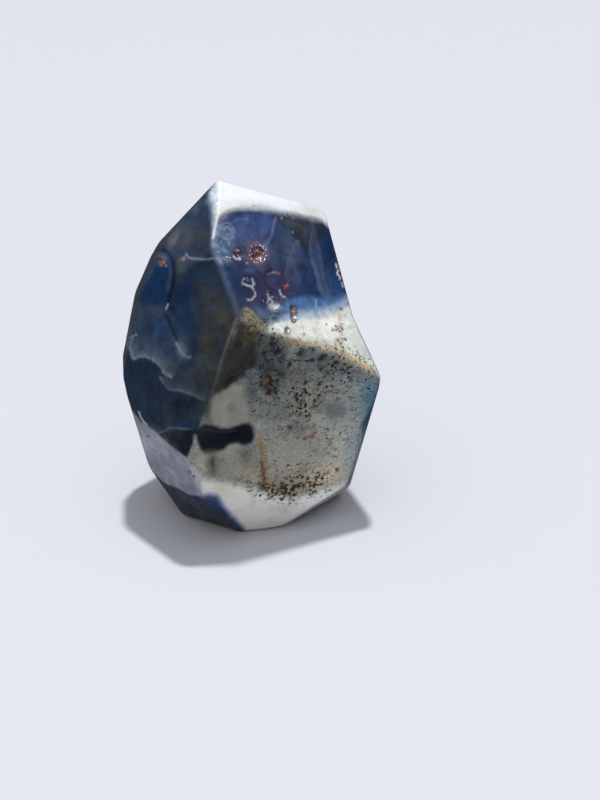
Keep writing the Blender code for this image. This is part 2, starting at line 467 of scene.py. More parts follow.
TEAR_MARKS = (
    ("stroke", "#0e1a2a", ((166, 315), (172, 328), (178, 340)), 1.4, 2.6, 0.7, 0.8),
    ("wash", "#0a131f", (172, 309), (3, 3), 0, 0.8, 0.5),
    ("stroke", "#a9b6c0", ((168, 304), (166, 309)), 1.0, 1.0, 0.8, 0.2),
    ("wash", "#3c4045", (173, 369), (9, 6), 20, 0.7),
    ("wash", "#64727d", (181, 350), (5, 10), -18, 0.75),
    ("stroke", "#8090a0", ((177, 343), (181, 352), (186, 356.5), (190, 357)), 0.8, 1.8, 0.55, 0.8),
    ("stroke", "#93a0ac", ((129, 338), (133, 336), (137, 334)), 0.8, 1.0, 0.7),
    ("stroke", "#7d8b98", ((130, 342), (133, 339)), 0.7, 1.0, 0.6),
)
paint.lay(TEAR_MARKS)

LEFT_CRACKS_AND_RIDGE_HIGHLIGHT = (
    # painted highlight along the rounded edge between two dark faces; the two lines below it are cracks
    ("stroke", "#7b7a74", ((237, 318), (227, 345), (219, 370), (212, 394)), 0.8, 2.2, 0.55, 0.2),
    ("stroke", "#64707b", ((156, 434), (165, 431), (172, 428), (195, 430), (222, 432)), 0.7, 1.3, 0.6, 0.8),
    ("stroke", "#8795a2", ((186, 254), (190, 257.5), (200, 259), (213, 259), (222, 257), (227, 253)), 0.6,
     1.4, 0.6),
)
paint.lay(LEFT_CRACKS_AND_RIDGE_HIGHLIGHT)


# The blue face at the top
# The clearest part of the stone: violet-blue at the top, navy and indigo below, with a milky strip down its
# left side. Brown-black iron went into its upper right corner, and its foot is pale blue over the white.
BLUE = "#233759"
VIOLET_BLUE = "#3b4c79"
MILKY_BLUE = "#566a88"
IRON_BLACK = "#262d36"
INDIGO = "#2b3150"
PALE_BLUE = "#4f73a3"
BLUE_FACE = ((217, 196), (213, 248), (222, 275), (241, 319), (262, 332), (300, 332), (353, 318), (360, 300),
             (345, 240), (330, 210), (270, 200))
LOBE = ((215, 222), (225, 214), (240, 211), (258, 212), (272, 216), (276, 222), (274, 230), (270, 240),
        (262, 247), (248, 248), (232, 246), (221, 240))
MILKY_STRIP = ((213, 222), (222, 223), (232, 231), (235, 245), (231, 262), (222, 265), (213, 256))
BLACK_CORNER = ((263, 210), (278, 211), (298, 213), (320, 217), (329, 228), (322, 237), (316, 247),
                (310, 251), (303, 248), (298, 239), (290, 228), (278, 221))
BLUE_FRINGE = ((284, 302), (296, 298), (308, 297), (320, 299), (334, 299), (346, 296), (350, 306), (334, 312),
               (310, 315), (290, 315), (278, 310))
RIGHT_FOLD = ((309, 214), (311, 228), (309, 244), (311, 262), (316, 280), (323, 298), (334, 306), (342, 300),
              (334, 282), (324, 262), (318, 242), (315, 222), (314, 212))
RIGHT_FOLD_EDGE = ((309, 216), (310, 230), (309, 245), (311, 262), (316, 280), (323, 298))
MIDDLE_FOLD = ((298, 240), (292, 250), (287, 262), (284, 276), (292, 282), (300, 268), (302, 252))
MIDDLE_FOLD_EDGE = ((298, 240), (292, 250), (287, 262), (284, 275))

BLUE_MARKS = (
    ("patch", BLUE, BLUE_FACE, 1.6),
    ("patch", VIOLET_BLUE, LOBE, 5, 0.8, 1.0, True),
    ("wash", "#2f4a80", (248, 217), (22, 5), 0, 0.8),
    ("wash", "#42578a", (246, 226), (16, 6), 0, 0.5),
    ("wash", "#46557b", (244, 231), (18, 8), 0, 0.6),
    ("wash", "#4b5166", (248, 244), (16, 6), 0, 0.8),
    ("patch", MILKY_BLUE, MILKY_STRIP, 8, 0.75, 2.0, True),
    ("wash", "#333f58", (284, 252), (22, 20), 0, 0.8),
    ("wash", INDIGO, (260, 278), (24, 18), 0, 0.8),
    ("wash", "#3a3049", (284, 290), (16, 13), 0, 0.6),
    ("wash", "#403a4c", (252, 297), (12, 9), 0, 0.6),
    ("wash", "#3f4a66", (236, 262), (8, 10), 0, 0.5),
    ("wash", "#4d566b", (290, 246), (6, 22), 6, 0.6),
)
paint.lay(BLUE_MARKS)

BLACK_CORNER_MARKS = (
    ("patch", IRON_BLACK, BLACK_CORNER, 7, 0.92, 1.5, True),
    ("wash", "#3a3a36", (303, 228), (8, 12), 0, 0.6),
    ("wash", "#38445c", (283, 229), (6, 8), -30, 0.5),
)
paint.lay(BLACK_CORNER_MARKS)

BLUE_BORDER_MARKS = (
    ("wash", "#0a2444", (331, 250), (10, 28), -12, 0.85),
    ("wash", "#1f4470", (336, 288), (7, 14), -15, 0.7),
    ("wash", "#1c2c4c", (308, 285), (8, 16), 0, 0.6),
)
paint.lay(BLUE_BORDER_MARKS)

BLUE_LUMPS = (
    ("mottle", "#4b5878", BLUE_FACE, folds[:, 1], 0.1, 0.6, 0.3),
    ("mottle", "#1e2440", BLUE_FACE, folds[:, 2], 0.1, 0.5, 0.4),
    ("wash", "#2c2f45", (246, 290), (9, 14), -15, 0.6),
    ("mottle", "#3d3346", ((240, 262), (300, 262), (298, 300), (250, 308)), clouds[:, 0], -0.1, 0.4, 0.55),
)
paint.lay(BLUE_LUMPS)

BLUE_FOLD_MARKS = (
    ("hem", "#5a6882", RIGHT_FOLD, RIGHT_FOLD_EDGE, 6.0, 0.4, 1.0),
    ("hem", "#606b80", MIDDLE_FOLD, MIDDLE_FOLD_EDGE, 5.0, 0.4, 1.0),
    ("stroke", "#4c5f80", ((318, 246), (321, 268), (327, 290), (333, 300)), 1.0, 3.0, 0.4, 1.0),
    ("stroke", "#55678a", ((313, 262), (319, 280), (324, 296)), 0.8, 2.0, 0.4, 1.0),
    ("stroke", "#7a87a4", ((276, 218), (274, 225), (272, 235), (268, 242), (262, 247)), 0.6, 1.6, 0.4, 1.0),
)
paint.lay(BLUE_FOLD_MARKS)

BLUE_FRINGE_MARKS = (
    ("patch", PALE_BLUE, BLUE_FRINGE, 9, 0.8, 2.0, True),
    ("wash", "#5b6c8a", (264, 314), (12, 7), 25, 0.75),
    ("wash", "#3c4256", (330, 302), (4, 5), 0, 0.4),
)
paint.lay(BLUE_FRINGE_MARKS)

MILKY_SWIRL_MARKS = (
    ("mottle", "#8d9cb4", MILKY_STRIP, clouds[:, 1], 0.1, 0.4, 0.45, 4),
    ("stroke", "#94a3bb", ((226, 222.5), (232, 225), (233.5, 231), (230, 236.5), (223, 237), (219.5, 231),
     (221, 225)), 0.8, 1.8, 0.3, 1.5, True),
    ("stroke", "#9aa9c0", ((218, 234), (223, 238), (228, 240)), 0.6, 1.2, 0.5),
    ("stroke", "#93a1b8", ((217, 244), (221, 250), (227, 252)), 0.6, 1.2, 0.5),
    ("stroke", "#68779a", ((229, 224), (238, 219), (247, 218)), 0.6, 2.2, 0.35, 1.5),
)
paint.lay(MILKY_SWIRL_MARKS)

BLUE_SPECKS = (
    ("dots", "#9aa4b2", ((293, 218), (282, 218), (293, 232), (221, 262), (224, 258), (247, 263), (220, 228),
     (224, 246), (229, 243), (218, 252)), 1.1, 0.8),
)
paint.lay(BLUE_SPECKS)


# The porous face
# Chalky grey-green agate that never closed up: full of small holes, stained by iron from ochre to black, and
# clear blue-grey in patches. It runs down to a dark lens of clear agate, the tail, at its lower left.
PORE_GREY = "#91948c"
PALE_GREY = "#b2bbb9"
BLUE_GREY = "#5e6b74"
UMBER = "#26282a"
CREAM_GREY = "#95958c"
TAIL_BLACK = "#161c26"
SAND = "#b6a792"
POROUS_FACE = ((241, 317), (262, 325), (285, 332), (310, 338), (340, 344), (365, 350), (388, 379), (390, 400),
               (370, 440), (352, 484), (320, 499), (290, 505), (258, 496), (200, 480), (187, 458))
DARK_STAIN = ((255, 340), (266, 338), (278, 342), (287, 353), (288, 372), (282, 391), (268, 396), (259, 386),
              (254, 364))
UMBER_ZONE = ((240, 318), (252, 331), (258, 345), (257, 365), (249, 372), (237, 380), (232, 384), (228, 389),
              (215, 393), (204, 404), (211, 390), (226, 350))
CREAM_PATCH = ((212, 403), (217, 398), (223, 392), (230, 387), (234, 384), (238, 386), (241, 392), (244, 398),
               (248, 408), (249, 418), (246, 423), (238, 425), (228, 427), (219, 426), (213, 422), (211, 414))
TAIL = ((194, 428), (204, 424), (213, 425), (220, 428), (228, 428.5), (236, 426), (243, 423.5), (250, 423),
        (254, 428), (254.5, 436), (252, 443), (246, 445), (238, 443.5), (229, 444), (224, 449), (215, 452.5),
        (206, 454), (201, 450), (198, 444), (195, 437), (190, 448), (187, 456), (178, 450), (184, 432))

POROUS_MARKS = (
    ("patch", PORE_GREY, POROUS_FACE, 1.8),
    ("wash", "#c3c6bb", (345, 446), (26, 42), 10, 0.85),
    ("wash", "#8b9a9c", (352, 398), (18, 22), 0, 0.6),
    ("wash", "#aeb0a6", (290, 458), (38, 26), 0, 0.6),
    ("wash", "#6b7880", (318, 362), (44, 9), 22, 0.7),
    ("wash", "#7b8082", (262, 408), (18, 22), 0, 0.6),
    ("mottle", "#babaaa", POROUS_FACE, folds[:, 0], 0.0, 0.6, 0.5),
    ("mottle", "#6f7977", POROUS_FACE, folds[:, 1], 0.05, 0.6, 0.45),
    ("mottle", "#a49a84", POROUS_FACE, clouds[:, 0], 0.0, 0.6, 0.4),
    ("mottle", "#5b666e", POROUS_FACE, clouds[:, 2], 0.25, 0.5, 0.45),
    ("wash", "#566163", (338, 364), (34, 12), 30, 0.7),
    ("mottle", "#56646c", ((258, 342), (330, 352), (330, 400), (262, 404)), clouds[:, 1], 0.0, 0.5, 0.5),
    ("mottle", "#8b7a62", ((284, 350), (318, 356), (312, 400), (280, 396)), clouds[:, 0], 0.1, 0.4, 0.45),
    ("wash", "#687271", (300, 375), (30, 24), 0, 0.5),
    ("wash", "#4d5558", (264, 362), (24, 28), 0, 0.6),
)
paint.lay(POROUS_MARKS)

DARK_STAIN_MARKS = (
    ("patch", "#484e52", DARK_STAIN, 14, 0.85, 5.0, True),
    ("mottle", "#70776f", ((246, 334), (292, 342), (294, 372), (286, 400), (244, 398)), clouds[:, 1], 0.0,
     0.3, 0.5),
    ("mottle", "#414a53", ((243, 350), (264, 352), (272, 396), (250, 402), (240, 374)), clouds[:, 1], -0.2,
     0.4, 0.6),
    ("wash", "#a8a294", (290, 452), (32, 18), 0, 0.45),
    ("wash", "#555b5d", (282, 410), (14, 10), 0, 0.45),
    ("wash", "#545b5e", (300, 430), (11, 8), 0, 0.5),
    ("wash", "#8f8f88", (301, 389), (10, 7), 0, 0.45),
    ("wash", "#9aabad", (350, 379), (12, 9), 25, 0.55),
    ("wash", "#23272e", (270, 369), (6, 5), 0, 0.6, 3.0),
    ("wash", "#6b5238", (268, 384), (6, 8), 0, 0.8, 3.0),
    ("wash", "#6a5a48", (298, 372), (9, 9), 0, 0.5, 3.0),
    ("wash", "#6e6e6e", (250, 402), (7, 14), 0, 0.6),
    ("wash", "#5b6971", (252, 378), (9, 8), 0, 0.6),
)
paint.lay(DARK_STAIN_MARKS)

UMBER_MARKS = (
    ("patch", UMBER, UMBER_ZONE, 7, 0.92, 1.5),
    ("mottle", "#3e3a2e", UMBER_ZONE, clouds[:, 0], 0.0, 0.4, 0.6),
    ("wash", "#180f12", (230, 379), (8, 6), -30, 0.7),
    ("wash", "#343b3e", (206, 409), (9, 17), 0, 0.85),
)
paint.lay(UMBER_MARKS)

CREAM_MARKS = (
    ("patch", CREAM_GREY, CREAM_PATCH, 3.5, 0.95, 1.0),
    ("mottle", "#a5a196", CREAM_PATCH, folds[:, 0], -0.05, 0.4, 0.6),
    ("mottle", "#77756b", CREAM_PATCH, folds[:, 1], 0.1, 0.5, 0.5),
    ("wash", "#8c8c82", (236, 470), (24, 16), 0, 0.8),
    ("wash", "#b5ad9a", (245, 473), (16, 9), 10, 0.6),
    ("wash", "#dacdb4", (326, 474), (24, 12), -22, 0.85),
    ("wash", "#dcc99c", (321, 480), (10, 6), -20, 0.6),
    ("wash", "#a8967c", (290, 480), (28, 9), 0, 0.45),
)
paint.lay(CREAM_MARKS)

CLEAR_SPOT_MARKS = (
    ("patch", "#6d7a79", ((325, 409), (334, 403), (343, 404), (347, 412), (338, 418), (328, 417)), 7, 0.85,
     3.0, True),
    ("wash", "#8f9a98", (350, 408), (5, 14), 12, 0.5),
    ("wash", "#7c92a4", (354, 445), (7, 22), 8, 0.6),
)
paint.lay(CLEAR_SPOT_MARKS)

TAIL_MARKS = (
    ("patch", TAIL_BLACK, TAIL, 4.5, 1.0, 1.2),
    ("wash", "#27323d", (202, 431), (8, 7), 0, 0.7),
    ("wash", "#0b0e15", (235, 434), (16, 6), 0, 0.8),
    ("wash", "#40382d", (213, 463), (4.5, 11), -6, 0.9, 1.5),
    ("wash", "#50565c", (246, 454), (5, 7), 0, 0.75),
    ("wash", "#bdb5a8", (198, 466), (9, 10), 0, 0.85),
    ("mottle", "#7d7464", ((190, 452), (256, 448), (258, 492), (196, 480)), folds[:, 2], 0.0, 0.5, 0.6),
    ("stroke", "#9aa0a4", ((196, 450), (195, 441), (195, 436)), 1.6, 2.0, 0.7),
    ("stroke", "#6a4a33", ((190, 462), (196, 466), (202, 470)), 1.0, 1.4, 0.6),
)
paint.lay(TAIL_MARKS)

RUST_STREAK_MARKS = (
    ("stroke", "#a5885e", ((259, 441), (262, 452), (265, 465), (266, 477), (264, 488)), 3.6, 5.0, 0.6, 4.0),
)
paint.lay(RUST_STREAK_MARKS)

# fine ribs across the rust streak: the ends of the first, and how far each next one is from it
RIB_COUNT = 8
RIB_ENDS = (((258.5, 445), (0.6, 3.2)), ((267, 446), (0.3, 3.2)))
for rib in range(RIB_COUNT):
    ends = [(start[0] + step[0] * rib, start[1] + step[1] * rib) for start, step in RIB_ENDS]
    paint.stroke("#6f5534", ends, 0.6, 1.2, 0.6)

LOW_STREAK_MARKS = (
    ("stroke", "#57544f", ((196, 428.5), (206, 429), (216, 431.5), (226, 432), (236, 430)), 0.5, 1.3, 0.3,
     0.6),
    ("stroke", "#4d3218", ((262, 462), (264, 472), (263, 481), (265, 489)), 1.4, 2.0, 0.75, 4.0),
    ("wash", "#3b2614", (263, 486), (4, 4), 0, 0.8, 3.0),
    ("stroke", "#6a7a84", ((246, 372), (252, 370), (257, 375), (254, 382), (247, 383)), 1.4, 1.6, 0.7),
    ("stroke", "#39434b", ((243, 376), (249, 378), (252, 384), (258, 383)), 1.2, 1.4, 0.7),
    ("stroke", "#a0602c", ((303, 440), (308, 437), (312, 436), (316, 432)), 1.2, 1.6, 0.85, 1.5),
)
paint.lay(LOW_STREAK_MARKS)

# dark clear spots in the chalky ground, with their sizes
CLEAR_DOTS = (((301, 353), 4.2), ((313, 350), 2.6), ((323, 357), 3.4), ((321, 368), 3.6), ((328, 373), 2.6),
              ((262, 488), 2.8), ((297, 397), 3.0), ((290, 428), 2.6))
for place, size in CLEAR_DOTS:
    paint.wash("#18202b", place, (size, size), 0, 0.95, 2.5)


# The white agate: the crown and the brim
# Opaque white layers, one over the top of the stone and one that the hollow bend cuts across. The crown fades
# into the blue over a millimetre, and the brim is cream and ochre at its left end, where clay went in.
CROWN_WHITE = "#e1e3e8"
BRIM_WHITE = "#d2d5cf"
CREAM = "#7a7159"
OCHRE = "#4a4731"
CROWN = ((216, 170), (217.5, 200), (216.5, 221), (222, 214.5), (230, 210.5), (240, 208), (250, 208),
         (262, 209.5), (275, 210.5), (285, 211.5), (295, 213.5), (305, 215.5), (315, 217), (322, 220),
         (331, 228), (350, 225), (335, 190), (250, 160))
CROWN_EDGE = ((220, 218), (230, 211.5), (240, 209), (250, 209), (262, 210.5), (285, 212.5), (305, 216.5),
              (320, 220))
BRIM = ((246, 318), (254, 322), (263, 327), (275, 323), (290, 321), (305, 321), (318, 319), (330, 317),
        (338, 312), (349, 306), (368, 330), (388, 378), (381, 378.5), (375, 373.5), (363, 364.5),
        (352, 357.5), (340, 351.5), (330, 349), (315, 345.5), (300, 343), (292, 341), (285, 338), (275, 334),
        (262, 333), (250, 330))
BRIM_TOP = ((272, 324), (283, 316), (293, 312), (305, 311.5), (318, 310), (330, 308), (338, 303), (349, 298),
            (360, 330), (320, 332), (270, 330))
LEFT_END = ((244, 312), (250, 312), (258, 318), (266, 325), (268, 332), (258, 334), (249, 326))
BRIM_EDGE = ((285, 337), (292, 340), (300, 342), (315, 344), (330, 347.5), (340, 350), (352, 356), (363, 363),
             (375, 372))

CROWN_MARKS = (
    ("patch", CROWN_WHITE, CROWN, 6, 1.0, 0.8),
    ("stroke", "#8a969b", CROWN_EDGE, 3.0, 4.0, 0.55, 1.0),
    ("wash", "#b3b8b6", (312, 211), (18, 5), 14, 0.75),
    ("wash", "#c2c6cd", (250, 204), (34, 4), 4, 0.5),
    ("wash", "#93a5aa", (262, 207.5), (16, 2.6), 4, 0.6),
    ("stroke", "#0f2145", ((228, 215), (240, 212.5), (252, 212.5), (262, 214)), 1.4, 1.5, 0.6),
    ("stroke", "#7a6048", ((216, 222), (222, 217), (228, 214)), 1.2, 1.8, 0.6),
    # painted highlight: a thin bright line down the rounded ridge at the left of the crown
    ("stroke", "#f0f3f6", ((221, 182), (219, 200), (216, 222), (213, 238)), 0.8, 1.8, 0.6, 0.3),
)
paint.lay(CROWN_MARKS)

BRIM_MARKS = (
    ("patch", "#9fb2c4", BRIM_TOP, 10, 0.8, 2.5),
    ("patch", BRIM_WHITE, BRIM, 5.0, 1.0, 1.5),
)
paint.lay(BRIM_MARKS)

LEFT_END_MARKS = (
    ("patch", "#8f8a70", LEFT_END, 6, 0.8, 4.0, True),
    ("mottle", "#5d563e", LEFT_END, clouds[:, 1], -0.15, 0.35, 0.8, 4),
    ("wash", "#9b9276", (247, 315), (5, 4), 30, 0.6),
    ("mottle", "#aaa384", LEFT_END, folds[:, 1], 0.0, 0.3, 0.6, 3),
)
paint.lay(LEFT_END_MARKS)

BRIM_LUMPS = (
    ("mottle", "#b3aa94", BRIM, clouds[:, 0], 0.15, 0.45, 0.5),
    ("mottle", "#e6e9e6", BRIM, clouds[:, 2], 0.1, 0.4, 0.5),
    ("wash", "#dcdfda", (318, 325), (24, 8), 12, 0.5),
    ("wash", "#b5bcc0", (362, 350), (6, 16), -25, 0.6),
)
paint.lay(BRIM_LUMPS)

CLAY_MARKS = (
    ("wash", CREAM, (252, 322), (9, 8), 0, 0.7),
    ("wash", OCHRE, (254, 334), (12, 9), 10, 0.92),
    ("wash", "#9a8f74", (262, 327), (5, 4), 0, 0.5),
    ("mottle", "#6b6544", ((240, 322), (270, 326), (276, 340), (262, 350), (244, 346)), clouds[:, 0], -0.2,
     0.6, 0.65),
)
paint.lay(CLAY_MARKS)

BRIM_EDGE_MARKS = (
    ("wash", "#94663c", (296, 341.5), (7, 2.6), 10, 0.85),
    ("stroke", "#a8946f", BRIM_EDGE, 1.6, 3.4, 0.75, 2.4),
    ("wash", "#8c8358", (284, 337), (9, 3), 16, 0.7, 3.0),
    ("stroke", "#8a98a8", ((316, 300), (316, 310)), 1.0, 1.4, 0.6),
    ("wash", "#f0f2ee", (330, 322), (9, 12), 0, 0.6),
    ("wash", "#c9b79a", (340, 327), (3, 16), -3, 0.4, 2.0),
    ("wash", "#c4b08c", (362, 364), (16, 4), 40, 0.5, 2.0),
    ("wash", "#a3a191", (320, 342), (12, 3), 8, 0.55, 2.0),
    ("dots", "#3a2416", ((341, 309), (338, 328), (336, 330), (340, 331), (338, 340), (341, 343), (343, 351)),
     1.7),
)
paint.lay(BRIM_EDGE_MARKS)


# The chin, the jaw and the cheek
# White and lavender agate on the flats that lean under the stone, a dark band of painted shade along the
# lower left edge, where the shadowed floor is mirrored, with a bright blue rim, and a blue-grey cheek on the
# right
# with painted reflection on it: blue surroundings mirrored above and the pale floor below.
CHIN_WHITE = "#f1efe6"
LAVENDER = "#9b9fae"
MIRRORED_SHADOW_DARK = "#333a4b"
CHIN = ((200, 476), (258, 490), (290, 498), (320, 493), (352, 480), (352, 500), (320, 520), (280, 540),
        (245, 540), (243, 531), (225, 512), (202, 497), (194, 488))
JAW = ((130, 409), (145, 424), (158, 435), (175, 449), (187, 458), (200, 478), (202, 497), (190, 495),
       (165, 484), (143, 462), (120, 430))
LOW_BAND = ((143, 464), (160, 481), (175, 487), (190, 495), (202, 497), (210, 495), (218, 497), (222, 505),
            (230, 515), (240, 524), (247, 536), (220, 540), (180, 525), (150, 495))
CHEEK = ((382, 379), (372, 400), (360, 428), (347, 484), (357, 486), (388, 420), (392, 382))

CHIN_MARKS = (
    ("patch", CHIN_WHITE, CHIN, 12, 1.0, 3.0),
    ("mottle", "#b9b0a0", CHIN, folds[:, 0], 0.05, 0.6, 0.3),
    ("mottle", "#f4f3ee", CHIN, folds[:, 1], 0.0, 0.6, 0.5),
    ("wash", "#ffffff", (318, 503), (36, 9), -27, 0.75),
)
paint.lay(CHIN_MARKS)

JAW_MARKS = (
    ("patch", LAVENDER, JAW, 2.2),
    ("mottle", "#b9bcc8", JAW, folds[:, 0], -0.1, 0.5, 0.6),
    ("mottle", "#7c8296", JAW, folds[:, 1], 0.0, 0.6, 0.3),
    ("mottle", "#a7a2a0", JAW, clouds[:, 0], 0.1, 0.5, 0.4),
    ("wash", "#bdc5d1", (147, 447), (12, 13), 35, 0.8),
    ("wash", "#7a8594", (192, 487), (10, 7), 20, 0.8),
    ("wash", "#bdbcba", (200, 482), (7, 9), 0, 0.5),
)
paint.lay(JAW_MARKS)

MIRRORED_SHADOW_MARKS = (
    # painted shade: the dark of this band is the shadowed floor mirrored in the flat that leans under the
    # stone
    ("patch", MIRRORED_SHADOW_DARK, LOW_BAND, 3, 0.97, 0.8),
    ("mottle", "#4a556d", LOW_BAND, folds[:, 0], -0.1, 0.6, 0.5),
    ("mottle", "#20232e", LOW_BAND, folds[:, 1], 0.0, 0.6, 0.6),
    ("wash", "#24446c", (216, 504), (9, 6), 30, 0.8, 1.5),
    ("wash", "#d0c8b8", (222, 490), (14, 8), 20, 0.6),
    ("stroke", "#5f7fb4", ((203, 496), (212, 494.5), (219, 498), (224, 507), (232, 516), (243, 528)), 1.4,
     3.5, 0.6, 1.5),
)
paint.lay(MIRRORED_SHADOW_MARKS)

CHEEK_REFLECTION_MARKS = (
    ("patch", "#748c9c", CHEEK, 7, 0.85, 3.0),
    ("mottle", "#95a1a6", CHEEK, folds[:, 0], -0.1, 0.5, 0.5, 4),
    ("mottle", "#48647c", CHEEK, folds[:, 1], 0.0, 0.6, 0.5, 4),
    # painted reflection: the blues from here to the last stroke are blue surroundings mirrored in the
    # polished cheek and along its right outline, laid over the cheek's own blue-grey
    ("wash", "#3c7c9a", (376, 398), (9, 20), 15, 0.85, 4.0),
    ("wash", "#4f86a0", (366, 396), (9, 18), 14, 0.6),
    ("wash", "#2f5f84", (370, 416), (5, 14), 22, 0.65, 3.0),
    # painted reflection: the pale floor mirrored at the foot of the cheek
    ("wash", "#b4bac0", (355, 466), (9, 26), 12, 0.85),
    ("patch", "#2b5f86", ((386, 376), (382, 388), (377, 400), (369, 412), (361, 428), (366, 433), (374, 419),
     (382, 402), (389, 384)), 6, 0.8, 3.5),
    ("stroke", "#16304c", ((382, 386), (378, 399), (373, 411), (364, 424)), 2.0, 4.0, 0.6, 2.0),
    ("stroke", "#33638a", ((352, 303), (363, 332), (371, 350), (382, 371)), 5.0, 3.0, 0.8, 1.5),
)
paint.lay(CHEEK_REFLECTION_MARKS)

JAW_EDGE_MARKS = (
    ("stroke", "#20242b", ((136, 413), (139, 418), (142, 422)), 1.4, 1.2, 0.85),
    ("stroke", "#dfe3e8", ((139, 412), (142, 419), (147, 425)), 0.8, 1.0, 0.7),
    ("dots", "#3b3f46", ((148, 436), (190, 472), (194, 476)), 1.6),
)
paint.lay(JAW_EDGE_MARKS)


# The small markings on the blue face
# Where holes in the agate filled late: dark red and violet rings with white and pink quartz in them, thin
# white curls, and one red spot.
DRUSE_RED = "#64505a"
QUARTZ_WHITE = "#c9ccd6"

BRUSHED_MARKS = (
    ("wash", "#4c5c7c", (224, 241), (8, 12), 0, 0.45),
    ("wash", "#4a5262", (290, 222), (13, 6), 10, 0.5, 2.0),
)
paint.lay(BRUSHED_MARKS)

ROUND_POCKET_MARKS = (
    ("wash", "#5b5a74", (258, 253), (13, 12), 0, 0.6),
    ("wash", "#76708c", (258, 254), (11.5, 11.5), 0, 0.5, 1.5),
    ("stroke", "#8f94b4", ((255, 244.5), (261, 244.5), (266.5, 249), (268, 255)), 0.8, 1.4, 0.4, 1.5),
    ("patch", DRUSE_RED, ((249, 249), (255, 244.5), (263, 245.5), (267.5, 252), (266, 259), (260, 264),
     (252, 262), (248, 256)), 3, 0.9, 2.5),
    ("stroke", "#7d6c58", ((244, 256), (248, 258), (252, 258)), 1.4, 2.0, 0.5),
)
paint.lay(ROUND_POCKET_MARKS)

SMALL_POCKET_MARKS = (
    ("patch", "#3a2134", ((234, 249), (238, 247.5), (241, 251), (240, 257), (236, 259), (233, 255)), 2, 0.8,
     0.3, True),
    ("stroke", QUARTZ_WHITE, ((233.5, 256), (236, 258.8), (239.5, 257)), 1.2, 1.0, 0.85, 0.2),
)
paint.lay(SMALL_POCKET_MARKS)

RUST_CURL_MARKS = (
    ("stroke", "#96633f", ((269, 273.5), (273, 271.5), (279, 274)), 1.0, 1.4, 0.7, 0.5),
    ("wash", "#33415f", (274, 278), (8, 5), 0, 0.6),
    ("wash", "#5a6b92", (250, 271), (5, 3), 0, 0.5),
)
paint.lay(RUST_CURL_MARKS)

WHITE_CURL_MARKS = (
    ("stroke", "#8c94a8", ((243, 284), (243, 280), (246, 279), (249, 281)), 0.8, 1.4, 0.4, 2.2),
    ("stroke", "#a9aebd", ((244, 283), (248, 286), (253, 285), (252, 279)), 0.9, 1.2, 0.75, 2.2),
    ("stroke", "#a9aebd", ((251, 286), (253, 290), (255, 295), (252, 300), (248, 300)), 0.9, 1.2, 0.75, 2.2),
    ("stroke", "#a3a7b6", ((267.5, 293), (269, 298), (273, 302), (270, 305.5)), 0.9, 1.3, 0.7, 1.4),
    ("stroke", "#a3a7b6", ((272.5, 296), (269, 299), (267.5, 303)), 0.8, 1.2, 0.6, 1.4),
    ("wash", "#c9cbce", (275, 307), (4.5, 4), 20, 0.9, 2.0),
    ("stroke", "#a5a9b8", ((280, 289.5), (281, 294), (284.5, 297)), 0.9, 1.3, 0.7, 1.4),
)
paint.lay(WHITE_CURL_MARKS)

RED_MARKS = (
    ("stroke", "#8a606a", ((281, 295), (281.5, 300), (284, 304)), 0.6, 1.3, 0.5, 1.4),
    ("wash", "#5e4454", (282, 303), (3, 5), -30, 0.5, 1.5),
    ("wash", "#7d3a35", (286, 285.5), (2.6, 2.6), 0, 0.9, 0.8),
    ("wash", "#382c40", (268, 288), (12, 8), 0, 0.5),
)
paint.lay(RED_MARKS)

BORDER_CURL_MARKS = (
    ("stroke", "#c3cdd8", ((336, 264), (337, 267.5)), 0.9, 1.2, 0.7),
    ("stroke", "#c3cdd8", ((338.5, 270), (337.5, 273), (340, 276), (339.5, 279)), 1.0, 1.3, 0.75, 2.0),
    ("stroke", "#a9b6c8", ((342, 283), (343, 287)), 0.8, 1.2, 0.6),
)
paint.lay(BORDER_CURL_MARKS)

SWIRL_MARKS = (
    ("stroke", "#8590ae", ((222, 231), (224, 236), (228, 239), (233, 237)), 0.6, 1.3, 0.45, 1.2),
    ("stroke", "#8590ae", ((224, 229), (228, 226.5), (231, 230), (229.5, 234), (226, 233.5)), 0.6, 1.3, 0.5,
     1.2),
    ("stroke", "#8590ae", ((220, 241), (223, 246), (221, 251)), 0.6, 1.4, 0.4, 2.0),
)
paint.lay(SWIRL_MARKS)

TALL_POCKET_MARKS = (
    ("patch", "#2d2a33", ((291, 307), (294, 304.5), (297, 307), (297.5, 315), (296, 322), (292, 323),
     (290, 316)), 2, 0.9, 0.3, True),
    ("wash", "#9c8186", (294, 310), (2.2, 3.4), 0, 0.8, 0.3),
    ("wash", "#a9aeae", (294, 318), (2, 2.4), 0, 0.8, 0.3),
)
paint.lay(TALL_POCKET_MARKS)

RING_MARKS = (
    ("stroke", "#5f6458", ((285, 329), (288, 328), (290, 331), (288, 334), (285, 333)), 1.2, 1.2, 0.8, 0.3,
     True),
    ("stroke", "#7d8790", ((270, 318), (274, 315), (279, 317), (279, 321), (274, 322)), 1.0, 1.2, 0.6, 0.4,
     True),
    ("stroke", "#7d8790", ((266, 324), (270, 321), (273, 324), (270, 326)), 1.0, 1.2, 0.6, 0.4, True),
    ("wash", "#7c8b9c", (287, 331), (2.0, 2.6), 0, 0.9, 0.2),
    ("dots", "#4a4038", ((304, 334),), 1.4),
)
paint.lay(RING_MARKS)


# How much of each fine pattern the front shows
# The grain is too small to lay on by hand: chalky speckle, dark pores, rust in them, staining that branches
# like moss, and wisps of veil in the clear agate. Only the amounts are laid on; the material draws them.
SPECKLE_MARKS = (
    ("patch", 1.0, POROUS_FACE, 3),
    ("patch", 0.5, BRIM, 3),
    ("patch", 0.2, CHIN, 6),
    ("patch", 0.4, JAW, 3),
    ("patch", 0.15, TAIL, 3),
    ("patch", 0.12, CREAM_PATCH, 5),
    ("wash", 0.2, (336, 412), (9, 6)),
    ("wash", 0.5, (226, 244), (10, 20)),
)
speckle = Layer(0.12)
speckle.lay(SPECKLE_MARKS)

